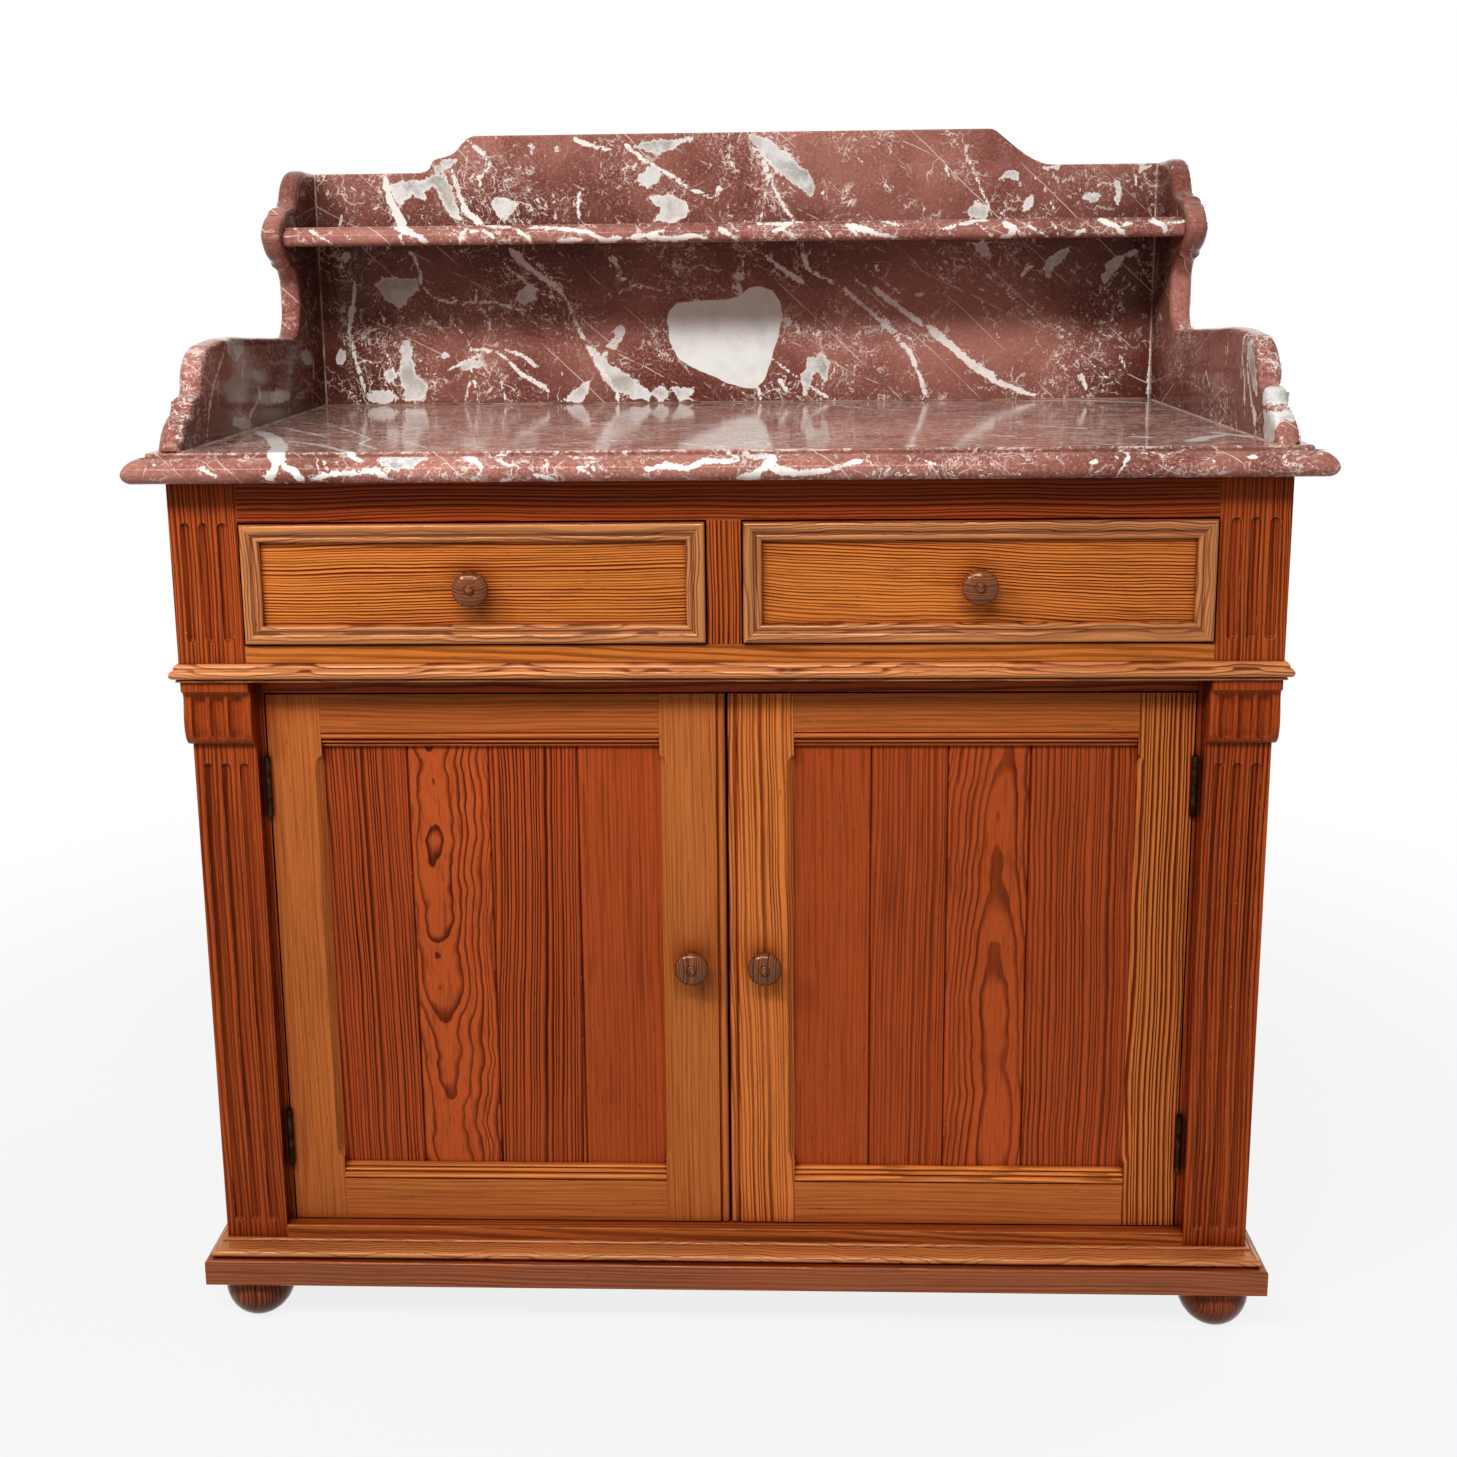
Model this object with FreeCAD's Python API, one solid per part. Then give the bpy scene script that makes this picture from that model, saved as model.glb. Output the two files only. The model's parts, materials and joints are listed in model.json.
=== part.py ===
import FreeCAD, Part
import math
import os

# A pitch pine washstand with a marble top, marble splash panels and a marble shelf.
# Two drawers run in the upper section and two hinged doors close the cupboard below.
# Lengths are in millimetres. The origin is on the floor under the middle of the marble top.
# X runs to the viewer's right, Y to the back and Z up.

os.makedirs("parts", exist_ok=True)

V = FreeCAD.Vector
RIGHT = V(1, 0, 0)
BACK = V(0, 1, 0)
UP = V(0, 0, 1)
FULL_TURN = 360
ROUND_SHARE = math.sqrt(0.5)

# Whole stand
top_width = 1100.0
top_depth = 560.0
end_overhang = 30.0
front_overhang = 33.0
back_overhang = 12.0
lower_setback = 16.0
lower_inset = 3.0
door_setback = 12.0
foot_height = 50.0
plinth_height = 26.5
ledge_thickness = 8.0
cupboard_height = 592.8
waist_thickness = 18.0
drawer_section_height = 174.9
cutter_overrun = 5.0

# Marble
slab_thickness = 27.4
slab_under_round = 9.8
slab_slope_width = 18.0
slab_slope_top = 23.0
slab_step_round = 2.0
splash_thickness = 24.0
splash_inset = 27.3
splash_front_inset = 21.5
splash_height = 277.4
backboard_thickness = 20.0
backboard_height = 317.4
backboard_shoulder_height = 275.4
backboard_crown_width = 616.0
backboard_sweep_width = 56.0
marble_shelf_depth = 146.7
marble_shelf_thickness = 21.0
marble_shelf_top = 210.4
shelf_under_round = 7.5
shelf_slope_width = 8.0
shelf_slope_top = 18.5
shelf_step_round = 1.2
marble_pin_radius = 3.0
marble_pin_length = 30.0
marble_pin_fit = 0.1

# Case
side_thickness = 22.0
pilaster_width = 65.0
post_reveal = 6.0
frieze_rail_height = 39.7
drawer_rail_height = 17.2
rail_depth = 24.0
muntin_width = 32.0
head_rail_height = 18.0
bottom_rail_height = 15.5
back_board_thickness = 12.0
back_board_gap = 1.0
back_board_count = 6
inner_shelf_height = 307.5
inner_shelf_thickness = 18.0
inner_shelf_setback = 6.0
side_play = 0.5

# Pilaster flutes and corbels
flute_count = 3
flute_width = 10.0
flute_depth = 3.5
flute_pitch = 17.6
upper_flute_margin = 20.0
lower_flute_bottom_margin = 20.0
lower_flute_top_margin = 20.0
corbel_height = 65.3
corbel_flute_bottom = 14.0

# Waist moulding
waist_projection = 8.0
waist_top_fillet = 2.0
waist_cove = 4.0
waist_bottom_fillet = 4.0

# Plinth
plinth_projection = 12.7
plinth_board_thickness = 20.0
plinth_arris_round = 1.5
ledge_setback = 5.2
ledge_width = 40.0
base_bead_width = 4.0
base_bead_height = 2.5
corner_block_width = 78.0

# Bun feet
foot_radius = 35.0
foot_flat_radius = 15.0
foot_top_radius = 31.0
foot_edge_inset = 43.0
foot_widest_height = 31.0

# Battens inside the case
batten_width = 18.0
batten_height = 20.0
guide_height = 16.0
kicker_height = 22.0
guide_play = 0.5
runner_play = 0.3
kicker_play = 2.0
runner_bearing = 14.0

# Drawers
drawer_gap = 1.5
drawer_front_recess = 3.0
drawer_front_thickness = 20.0
drawer_back_clearance = 40.0
drawer_side_thickness = 12.0
drawer_side_height = 95.0
drawer_side_inset = 2.0
drawer_bottom_thickness = 6.0
drawer_bottom_rise = 8.0
drawer_groove_depth = 4.0
drawer_moulding_width = 18.5
drawer_moulding_depth = 8.0

# Doors
door_gap = 1.5
door_meeting_gap = 2.0
door_thickness = 22.0
hinge_stile_width = 52.5
meeting_stile_width = 64.0
top_rail_height = 38.5
door_bottom_rail_height = 44.5
panel_recess = 8.0
panel_thickness = 10.0
panel_groove_depth = 6.0
panel_seam_gap = 0.4
panel_seam_chamfer = 1.5
stile_chamfer = 7.0
chamfer_stop = 8.0
meeting_bead_width = 8.0
quirk_width = 1.2
quirk_depth = 1.5
reeding_height = 15.5
reeding_proud = 1.0

# Knobs
knob_radius = 17.0
knob_projection = 28.0
knob_collar_radius = 10.0
knob_neck_radius = 7.0
knob_pip_radius = 2.6
knob_stem_radius = 5.0
knob_stem_length = 14.0
knob_stem_fit = 0.1
drawer_knob_drop = 2.5
door_knob_inset = 35.0
door_knob_rise = 282.5

# Hinges and catches
hinge_height = 60.0
hinge_end_distance = 62.0
hinge_leaf_thickness = 1.2
hinge_leaf_depth = 18.0
hinge_knuckle_radius = 3.0
hinge_knuckle_gap = 0.2
hinge_pin_radius = 1.2
hinge_pin_fit = 0.05
catch_radius = 4.0
catch_length = 14.0
catch_ball_radius = 3.0
catch_ball_proud = 1.2
catch_inset = 35.0

# Outline shares: along the depth or width first, then up the height
splash_lower_lobe_shares = (
    ((0.025, 0.076), (0.066, 0.121)),
    ((0.078, 0.141), (0.083, 0.169)),
    (0.116, 0.178),
    ((0.129, 0.190), (0.133, 0.216)),
    ((0.158, 0.300), (0.216, 0.339)),
    ((0.310, 0.353), (0.424, 0.346)),
    (0.742, 0.317),
)
splash_neck_shares = (
    ((0.803, 0.350), (0.822, 0.440)),
    (0.822, 0.528),
    ((0.807, 0.573), (0.768, 0.593)),
    (0.764, 0.616),
)
splash_upper_lobe_shares = (
    ((0.716, 0.663), (0.696, 0.723)),
    ((0.710, 0.771), (0.752, 0.815)),
    (0.760, 0.836),
    (0.820, 0.851),
    ((0.838, 0.875), (0.851, 0.908)),
    ((0.880, 0.969), (0.945, 1.0)),
    (1.0, 1.0),
    (1.0, 0.0),
)
backboard_sweep_shares = (
    ((0.26, 0.83), (0.40, 0.54)),
    ((0.58, 0.37), (0.88, 0.27)),
    (0.90, 0.09),
    ((0.93, 0.03), (1.0, 0.0)),
)
corbel_outline_shares = (
    (1.0, 0.0),
    ((0.55, 0.035), (0.33, 0.16)),
    ((0.27, 0.33), (0.38, 0.52)),
    ((0.42, 0.66), (0.20, 0.776)),
    (0.0, 0.776),
    (0.0, 1.0),
    (1.0, 1.0),
)
left_seam_shares = (0.246, 0.510, 0.751)
right_seam_shares = (0.228, 0.454, 0.694)
knob_rim_share = 0.62
splash_pin_shares = (0.15, 0.85)
backboard_pin_shares = (-0.35, 0.0, 0.35)
shelf_pin_shares = (0.35, 0.75)

# Planes that the pieces share
case_half = top_width / 2 - end_overhang
lower_half = case_half - lower_inset
case_inner = lower_half - side_thickness
pilaster_inner = case_half - pilaster_width
post_inner = pilaster_inner - post_reveal
upper_face = front_overhang - top_depth / 2
lower_face = upper_face + lower_setback
door_face = lower_face + door_setback
door_back = door_face + door_thickness
case_back = top_depth / 2 - back_overhang
boards_front = case_back - back_board_thickness
plinth_top = foot_height + plinth_height
case_bottom = plinth_top + ledge_thickness
cupboard_top = case_bottom + cupboard_height
drawer_section_bottom = cupboard_top + waist_thickness
case_top = drawer_section_bottom + drawer_section_height
marble_top_level = case_top + slab_thickness
slab_front = -top_depth / 2
slab_back = top_depth / 2
backboard_front = slab_back - backboard_thickness
splash_outer = top_width / 2 - splash_inset
splash_inner = splash_outer - splash_thickness
splash_front = slab_front + splash_front_inset
plinth_half = case_half + plinth_projection
plinth_front = upper_face - plinth_projection
ledge_half = plinth_half - ledge_setback
ledge_front = plinth_front + ledge_setback
drawer_bottom_level = drawer_section_bottom + drawer_rail_height
drawer_top_level = case_top - frieze_rail_height
door_bottom = case_bottom + bottom_rail_height + door_gap
door_top = cupboard_top - head_rail_height - door_gap
door_outer = post_inner - door_gap
door_inner = door_meeting_gap / 2
hinge_x = post_inner - door_gap / 2
hinge_y = door_face - hinge_knuckle_radius
hinge_centres = (
    door_bottom + hinge_end_distance + hinge_height / 2,
    door_top - hinge_end_distance - hinge_height / 2,
)


def block(x0, x1, y0, y1, z0, z1):
    """Box between two X, two Y and two Z planes."""
    return Part.makeBox(x1 - x0, y1 - y0, z1 - z0, V(x0, y0, z0))


def mirrored(shape):
    """The same shape on the other side of the middle plane."""
    return shape.mirror(V(0, 0, 0), RIGHT)


def both_sides(shape):
    return [shape, mirrored(shape)]


def scaled(shares, across, up):
    """Turn outline shares into lengths."""
    path = []
    for step in shares:
        if isinstance(step[0], tuple):
            path.append(tuple((pair[0] * across, pair[1] * up) for pair in step))
        else:
            path.append((step[0] * across, step[1] * up))
    return path


def shifted(path, across, up):
    """Move an outline path by a length across and a length up."""
    moved = []
    for step in path:
        if isinstance(step[0], tuple):
            moved.append(tuple((pair[0] + across, pair[1] + up) for pair in step))
        else:
            moved.append((step[0] + across, step[1] + up))
    return moved


def rounded(start, corner, end):
    """Arc from start to end that rounds off the square corner between them."""
    centre = (start[0] + end[0] - corner[0], start[1] + end[1] - corner[1])
    middle = (
        centre[0] + (corner[0] - centre[0]) * ROUND_SHARE,
        centre[1] + (corner[1] - centre[1]) * ROUND_SHARE,
    )
    return (middle, end)


def section(origin, across, up, path):
    """Face inside a path of straight ends and of arcs given by their middle and end."""
    def place(pair):
        return origin + across * pair[0] + up * pair[1]

    here = place(path[0])
    edges = []
    for step in path[1:] + [path[0]]:
        if isinstance(step[0], tuple):
            there = place(step[1])
            edges.append(Part.Arc(here, place(step[0]), there).toShape())
        else:
            there = place(step)
            edges.append(Part.makeLine(here, there))
        here = there
    return Part.Face(Part.Wire(edges))


def mitred_strip(start, end, inward, up, path, width, low, high, mitres=(True, True)):
    """Strip of one section from start to end, cut at 45 degrees at its mitred ends."""
    run = end - start
    along = V(run).normalize()
    strip = section(start, inward, up, path).extrude(run)
    reach = (width if mitres[0] else 0, width if mitres[1] else 0)
    foot = start + up * (low - cutter_overrun)
    corners = [
        foot,
        foot + run,
        foot + run - along * reach[1] + inward * width,
        foot + along * reach[0] + inward * width,
    ]
    plan = Part.Face(Part.makePolygon(corners + [foot]))
    return strip.common(plan.extrude(up * (high - low + cutter_overrun + cutter_overrun)))


def three_sided(half, front, back, level, path, width, low, high):
    """Front, right and left strips of one section round the front and sides of the case."""
    front_left = V(-half, front, level)
    front_right = V(half, front, level)
    back_right = V(half, back, level)
    front_strip = mitred_strip(front_left, front_right, BACK, UP, path, width, low, high)
    side = mitred_strip(
        front_right, back_right, -RIGHT, UP, path, width, low, high, (True, False)
    )
    return [front_strip, side, mirrored(side)]


def turned(centre, axis, across, path):
    """Solid turned about an axis from a half section: radius first, then along the axis."""
    return section(centre, across, axis, path).revolve(centre, axis, FULL_TURN)


def nosed_path(reach, thickness, under, slope_width, slope_top, step_round):
    """Section of a slab with an under round, a convex slope and a small step to its field."""
    low_start = (under, 0)
    tip = (0, under)
    slope_end = (slope_width, slope_top)
    step_start = (slope_width, thickness - step_round)
    step_end = (slope_width + step_round, thickness)
    return [
        low_start,
        rounded(low_start, (0, 0), tip),
        rounded(tip, (0, slope_top), slope_end),
        step_start,
        rounded(step_start, (slope_width, thickness), step_end),
        (reach, thickness),
        (reach, 0),
    ]


# Marble pieces


def splash_pins():
    """Pins that stand in the slab and enter the foot of the right splash panel."""
    x = (splash_outer + splash_inner) / 2
    foot_depth = backboard_front - splash_front
    low = marble_top_level - marble_pin_length / 2
    return [V(x, splash_front + foot_depth * share, low) for share in splash_pin_shares]


def backboard_pins():
    y = slab_back - backboard_thickness / 2
    low = marble_top_level - marble_pin_length / 2
    return [V(splash_outer * share, y, low) for share in backboard_pin_shares]


def shelf_pins():
    """Pins that enter the right end of the marble shelf from the splash panel."""
    z = marble_top_level + marble_shelf_top - marble_shelf_thickness / 2
    front = backboard_front - marble_shelf_depth
    x = splash_inner - marble_pin_length / 2
    return [V(x, front + marble_shelf_depth * share, z) for share in shelf_pin_shares]


def pin_set(radius, fit_length):
    """Every marble pin at a radius, with extra length at both ends for a bore."""
    length = marble_pin_length + fit_length + fit_length
    pins = []
    for foot in splash_pins():
        pin = Part.makeCylinder(radius, length, foot - UP * fit_length, UP)
        pins.extend(both_sides(pin))
    for foot in backboard_pins():
        pins.append(Part.makeCylinder(radius, length, foot - UP * fit_length, UP))
    for foot in shelf_pins():
        pin = Part.makeCylinder(radius, length, foot - RIGHT * fit_length, RIGHT)
        pins.extend(both_sides(pin))
    return pins


def bored(shape):
    """Cut the pin bores out of a marble piece."""
    return shape.cut(Part.makeCompound(pin_set(marble_pin_radius + marble_pin_fit, marble_pin_fit)))


def slab_path(reach):
    return nosed_path(
        reach, slab_thickness, slab_under_round, slab_slope_width, slab_slope_top, slab_step_round
    )


def marble_top():
    """Slab with its nosing along the front and both ends."""
    corner = V(-top_width / 2, slab_front, case_top)
    front_path = slab_path(top_depth)
    front = section(corner, BACK, UP, front_path).extrude(RIGHT * top_width)
    side = section(corner, RIGHT, UP, slab_path(top_width)).extrude(BACK * top_depth)
    slab = front.common(side).common(mirrored(side))
    return bored(slab)


def marble_splash():
    """Right splash panel with its two lobes, seen from the side."""
    depth = backboard_front - splash_front
    shares = splash_lower_lobe_shares + splash_neck_shares + splash_upper_lobe_shares
    path = [(0, 0)] + scaled(shares, depth, splash_height)
    corner = V(splash_inner, splash_front, marble_top_level)
    return bored(section(corner, BACK, UP, path).extrude(RIGHT * splash_thickness))


def marble_backboard():
    """Backboard with a raised middle and a sweep down to each shoulder."""
    crown = backboard_crown_width / 2
    rise = backboard_height - backboard_shoulder_height
    sweep = shifted(
        scaled(backboard_sweep_shares, backboard_sweep_width, rise), crown, backboard_shoulder_height
    )
    path = [(0, backboard_height), (crown, backboard_height)] + sweep
    path += [(splash_outer, backboard_shoulder_height), (splash_outer, 0), (0, 0)]
    foot = V(0, backboard_front, marble_top_level)
    half = section(foot, RIGHT, UP, path).extrude(BACK * backboard_thickness)
    return bored(half.fuse(mirrored(half)).removeSplitter())


def marble_shelf():
    path = nosed_path(
        marble_shelf_depth, marble_shelf_thickness,
        shelf_under_round, shelf_slope_width, shelf_slope_top, shelf_step_round,
    )
    low = marble_top_level + marble_shelf_top - marble_shelf_thickness
    corner = V(-splash_inner, backboard_front - marble_shelf_depth, low)
    return bored(section(corner, BACK, UP, path).extrude(RIGHT * (splash_inner + splash_inner)))


def marble_pins():
    return Part.makeCompound(pin_set(marble_pin_radius, 0))


# Case pieces


def flute(x, face, low, high):
    """Round-ended groove cutter on a front face."""
    radius = (flute_width * flute_width / 4 + flute_depth * flute_depth) / (flute_depth + flute_depth)
    y = face + flute_depth - radius
    inset = flute_width / 2
    foot = V(x, y, low + inset)
    shank = Part.makeCylinder(radius, high - low - flute_width, foot, UP)
    lower_end = Part.makeSphere(radius, foot)
    upper_end = Part.makeSphere(radius, V(x, y, high - inset))
    return shank.fuse([lower_end, upper_end])


def flutes(outer, face, low, high):
    """The flutes of the right pilaster, evenly spaced about its middle."""
    middle = (outer + pilaster_inner) / 2
    first = middle - flute_pitch * (flute_count - 1) / 2
    return [flute(first + flute_pitch * i, face, low, high) for i in range(flute_count)]


def upper_pilaster():
    post = block(pilaster_inner, case_half, upper_face, door_back, drawer_section_bottom, case_top)
    low = drawer_section_bottom + upper_flute_margin
    return post.cut(flutes(case_half, upper_face, low, drawer_top_level))


def lower_pilaster():
    """Right fluted strip in one piece with the post that carries the door."""
    strip = block(pilaster_inner, lower_half, lower_face, door_face, case_bottom, cupboard_top)
    post = block(post_inner, lower_half, door_face, door_back, case_bottom, cupboard_top)
    low = case_bottom + lower_flute_bottom_margin
    high = cupboard_top - corbel_height - lower_flute_top_margin
    shape = strip.fuse(post).cut(flutes(lower_half, lower_face, low, high))
    for z in hinge_centres:
        shape = shape.cut(leaf_plate(z, post_inner, post_inner + hinge_leaf_thickness))
    return shape


def corbel():
    """Right scrolled bracket under the waist moulding, with three flutes."""
    depth = lower_setback
    low = cupboard_top - corbel_height
    path = scaled(corbel_outline_shares, depth, corbel_height)
    corner = V(pilaster_inner, upper_face, low)
    body = section(corner, BACK, UP, path).extrude(RIGHT * pilaster_width)
    abacus_share = corbel_outline_shares[4][1]
    belly_share = corbel_outline_shares[2][0][0]
    flute_top = low + corbel_height * abacus_share
    face = upper_face + depth * belly_share
    return body.cut(flutes(case_half, face, low + corbel_flute_bottom, flute_top))


def side_board():
    """Right side in two boards, one above and one below the waist board."""
    lower = block(case_inner, lower_half, door_back, case_back, case_bottom, cupboard_top)
    upper = block(case_inner, case_half, door_back, case_back, drawer_section_bottom, case_top)
    return Part.makeCompound([lower, upper])


def frieze_rail():
    back = upper_face + rail_depth
    return block(-pilaster_inner, pilaster_inner, upper_face, back, drawer_top_level, case_top)


def drawer_rail():
    back = upper_face + rail_depth
    return block(
        -pilaster_inner, pilaster_inner, upper_face, back, drawer_section_bottom, drawer_bottom_level
    )


def drawer_muntin():
    half = muntin_width / 2
    back = upper_face + rail_depth
    return block(-half, half, upper_face, back, drawer_bottom_level, drawer_top_level)


def waist_board():
    """Full-depth board between the drawers and the cupboard, notched for the back boards."""
    board = block(-case_half, case_half, upper_face, case_back, cupboard_top, drawer_section_bottom)
    notch = block(
        -case_inner, case_inner, boards_front, case_back, cupboard_top, drawer_section_bottom
    )
    return board.cut(notch)


def waist_moulding():
    """Cove, round and fillet, from the top down, in three mitred strips."""
    projection = waist_projection
    round_low = waist_bottom_fillet
    round_high = waist_thickness - waist_top_fillet - waist_cove
    round_middle = (round_low + round_high) / 2
    cove_top = waist_thickness - waist_top_fillet
    round_start = projection / 2
    path = [
        (projection, 0),
        (round_start, 0),
        (round_start, round_low),
        ((0, round_middle), (round_start, round_high)),
        rounded((round_start, round_high), (projection * ROUND_SHARE, round_high),
                (projection * ROUND_SHARE, cove_top)),
        (projection * ROUND_SHARE, waist_thickness),
        (projection, waist_thickness),
    ]
    return Part.makeCompound(three_sided(
        case_half + projection, upper_face - projection, case_back, cupboard_top,
        path, projection, 0, waist_thickness,
    ))


def head_rail():
    return block(
        -post_inner, post_inner, door_face, door_back, cupboard_top - head_rail_height, cupboard_top
    ).cut(catch_bores())


def bottom_rail():
    top = case_bottom + bottom_rail_height
    lip = block(-pilaster_inner, pilaster_inner, lower_face, door_face, case_bottom, top)
    body = block(-post_inner, post_inner, door_face, door_back, case_bottom, top)
    return lip.fuse(body).removeSplitter()


def floor_board():
    top = case_bottom + bottom_rail_height
    return block(-case_inner, case_inner, door_back, boards_front, case_bottom, top)


def back_boards():
    """Upright boards side by side between the sides of the case."""
    width = (case_inner + case_inner - back_board_gap * (back_board_count - 1)) / back_board_count
    boards = []
    for i in range(back_board_count):
        x = -case_inner + (width + back_board_gap) * i
        boards.append(block(x, x + width, boards_front, case_back, case_bottom, case_top))
    return Part.makeCompound(boards)


def inner_shelf():
    low = case_bottom + inner_shelf_height
    half = case_inner - side_play
    front = door_back + inner_shelf_setback
    return block(-half, half, front, boards_front, low, low + inner_shelf_thickness)


def case_battens():
    """Shelf battens, drawer runners, side guides, kickers and the rail behind them."""
    shelf_low = case_bottom + inner_shelf_height
    front = door_back + inner_shelf_setback
    shelf_batten = block(
        case_inner - batten_width, case_inner, front, boards_front, shelf_low - batten_height, shelf_low
    )
    runner_front = upper_face + rail_depth
    side_low = drawer_bottom_level + drawer_gap + drawer_side_inset
    runner_top = side_low - runner_play
    drawer_outer = pilaster_inner - drawer_gap - drawer_side_inset
    drawer_middle = muntin_width / 2 + drawer_gap + drawer_side_inset
    back_rail_front = boards_front - rail_depth
    guide_top = runner_top + guide_height
    side_runner = block(
        drawer_outer - runner_bearing, case_inner, door_back, boards_front,
        drawer_section_bottom, runner_top,
    )
    side_guide = block(
        drawer_outer + guide_play, case_inner, door_back, boards_front, runner_top, guide_top
    )
    runner_half = drawer_middle + runner_bearing
    middle_runner = block(
        -runner_half, runner_half, runner_front, boards_front, drawer_section_bottom, runner_top
    )
    guide_half = drawer_middle - guide_play
    middle_guide = block(-guide_half, guide_half, runner_front, boards_front, runner_top, guide_top)
    kicker_low = side_low + drawer_side_height + kicker_play
    side_kicker = block(
        drawer_outer - runner_bearing, case_inner, door_back, back_rail_front,
        kicker_low, kicker_low + kicker_height,
    )
    middle_kicker = block(
        -runner_half, runner_half, runner_front, back_rail_front,
        kicker_low, kicker_low + kicker_height,
    )
    back_rail = block(
        -case_inner, case_inner, back_rail_front, boards_front, kicker_low, case_top
    )
    pieces = [middle_runner.fuse(middle_guide).removeSplitter(), middle_kicker, back_rail]
    pieces.extend(both_sides(side_runner.fuse(side_guide).removeSplitter()))
    pieces.extend(both_sides(shelf_batten))
    pieces.extend(both_sides(side_kicker))
    return Part.makeCompound(pieces)


# Plinth and feet


def plinth_boards():
    """Three mitred boards round the front and sides, and a plain board at the back."""
    width = plinth_board_thickness
    arris = plinth_arris_round
    path = [
        (0, 0),
        (0, plinth_height - arris),
        rounded((0, plinth_height - arris), (0, plinth_height), (arris, plinth_height)),
        (width, plinth_height),
        (width, 0),
    ]
    boards = three_sided(
        plinth_half, plinth_front, case_back, foot_height, path, width, 0, plinth_height
    )
    inner = plinth_half - width
    boards.append(block(-inner, inner, case_back - width, case_back, foot_height, plinth_top))
    return Part.makeCompound(boards)


def base_moulding():
    """Round-nosed ledge under the case, with a small bead along the foot of the case."""
    nose = ledge_thickness / 2
    ledge_path = [
        (nose, 0),
        ((0, nose), (nose, ledge_thickness)),
        (ledge_width, ledge_thickness),
        (ledge_width, 0),
    ]
    strips = three_sided(
        ledge_half, ledge_front, case_back, plinth_top, ledge_path, ledge_width, 0, ledge_thickness
    )
    width = base_bead_width
    height = base_bead_height
    bead_path = [
        (0, 0),
        rounded((0, 0), (0, height), (width, height)),
        (width, 0),
    ]
    bead_half = lower_half + width
    front_strip = mitred_strip(
        V(-bead_half, lower_face - width, case_bottom), V(bead_half, lower_face - width, case_bottom),
        BACK, UP, bead_path, width, 0, height,
    )
    side_strip = mitred_strip(
        V(bead_half, lower_face - width, case_bottom), V(bead_half, case_back, case_bottom),
        -RIGHT, UP, bead_path, width, 0, height, (True, False),
    )
    strips += [front_strip] + both_sides(side_strip)
    return Part.makeCompound(strips)


def foot_places():
    """Centres of the four feet: front left, front right, back left and back right."""
    x = plinth_half - foot_edge_inset
    front = plinth_front + foot_edge_inset
    back = case_back - foot_edge_inset
    return {
        "front_left": V(-x, front, 0),
        "front_right": V(x, front, 0),
        "back_left": V(-x, back, 0),
        "back_right": V(x, back, 0),
    }


def corner_blocks():
    """Square blocks inside the plinth that hold the feet."""
    inner = plinth_half - plinth_board_thickness
    front = plinth_front + plinth_board_thickness
    back = case_back - plinth_board_thickness
    width = corner_block_width
    front_block = block(inner - width, inner, front, front + width, foot_height, plinth_top)
    back_block = block(inner - width, inner, back - width, back, foot_height, plinth_top)
    return Part.makeCompound(both_sides(front_block) + both_sides(back_block))


def bun_foot(place):
    """Turned foot, flat where it stands and where it meets the plinth."""
    flat_end = (foot_flat_radius, 0)
    widest = (foot_radius, foot_widest_height)
    top_end = (foot_top_radius, foot_height)
    path = [
        (0, 0),
        flat_end,
        rounded(flat_end, (foot_radius, 0), widest),
        rounded(widest, (foot_radius, foot_height), top_end),
        (0, foot_height),
    ]
    return turned(place, UP, RIGHT, path)


# Knobs


def knob(place):
    """Turned knob that faces the front, with a stem that enters the wood behind it."""
    head_back = knob_projection / 2
    rim = knob_projection * knob_rim_share
    dome_end = knob_projection - knob_pip_radius
    ring_radius = knob_pip_radius + knob_pip_radius
    collar_depth = knob_pip_radius
    path = [
        (0, -knob_stem_length),
        (knob_stem_radius, -knob_stem_length),
        (knob_stem_radius, 0),
        (knob_collar_radius, 0),
        (knob_collar_radius, collar_depth),
        rounded((knob_collar_radius, collar_depth), (knob_neck_radius, collar_depth),
                (knob_neck_radius, head_back / 2)),
        rounded((knob_neck_radius, head_back / 2), (knob_neck_radius, head_back),
                (knob_collar_radius, head_back)),
        rounded((knob_collar_radius, head_back), (knob_radius, head_back), (knob_radius, rim)),
        rounded((knob_radius, rim), (knob_radius, dome_end), (ring_radius, dome_end)),
        (knob_pip_radius, dome_end),
        rounded((knob_pip_radius, dome_end), (knob_pip_radius, knob_projection), (0, knob_projection)),
    ]
    return turned(place, -BACK, RIGHT, path)


def knob_bore(place):
    """Hole for a knob's stem."""
    radius = knob_stem_radius + knob_stem_fit
    length = knob_stem_length + knob_stem_fit
    return Part.makeCylinder(radius, length, place, BACK)


# Drawers


def drawer_box():
    """Edges of the right drawer's front: two X planes and two Z planes."""
    return (
        muntin_width / 2 + drawer_gap,
        pilaster_inner - drawer_gap,
        drawer_bottom_level + drawer_gap,
        drawer_top_level - drawer_gap,
    )


def drawer_knob_place():
    x0, x1, z0, z1 = drawer_box()
    middle = (z0 + z1) / 2
    return V((x0 + x1) / 2, upper_face + drawer_front_recess, middle - drawer_knob_drop)


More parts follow.
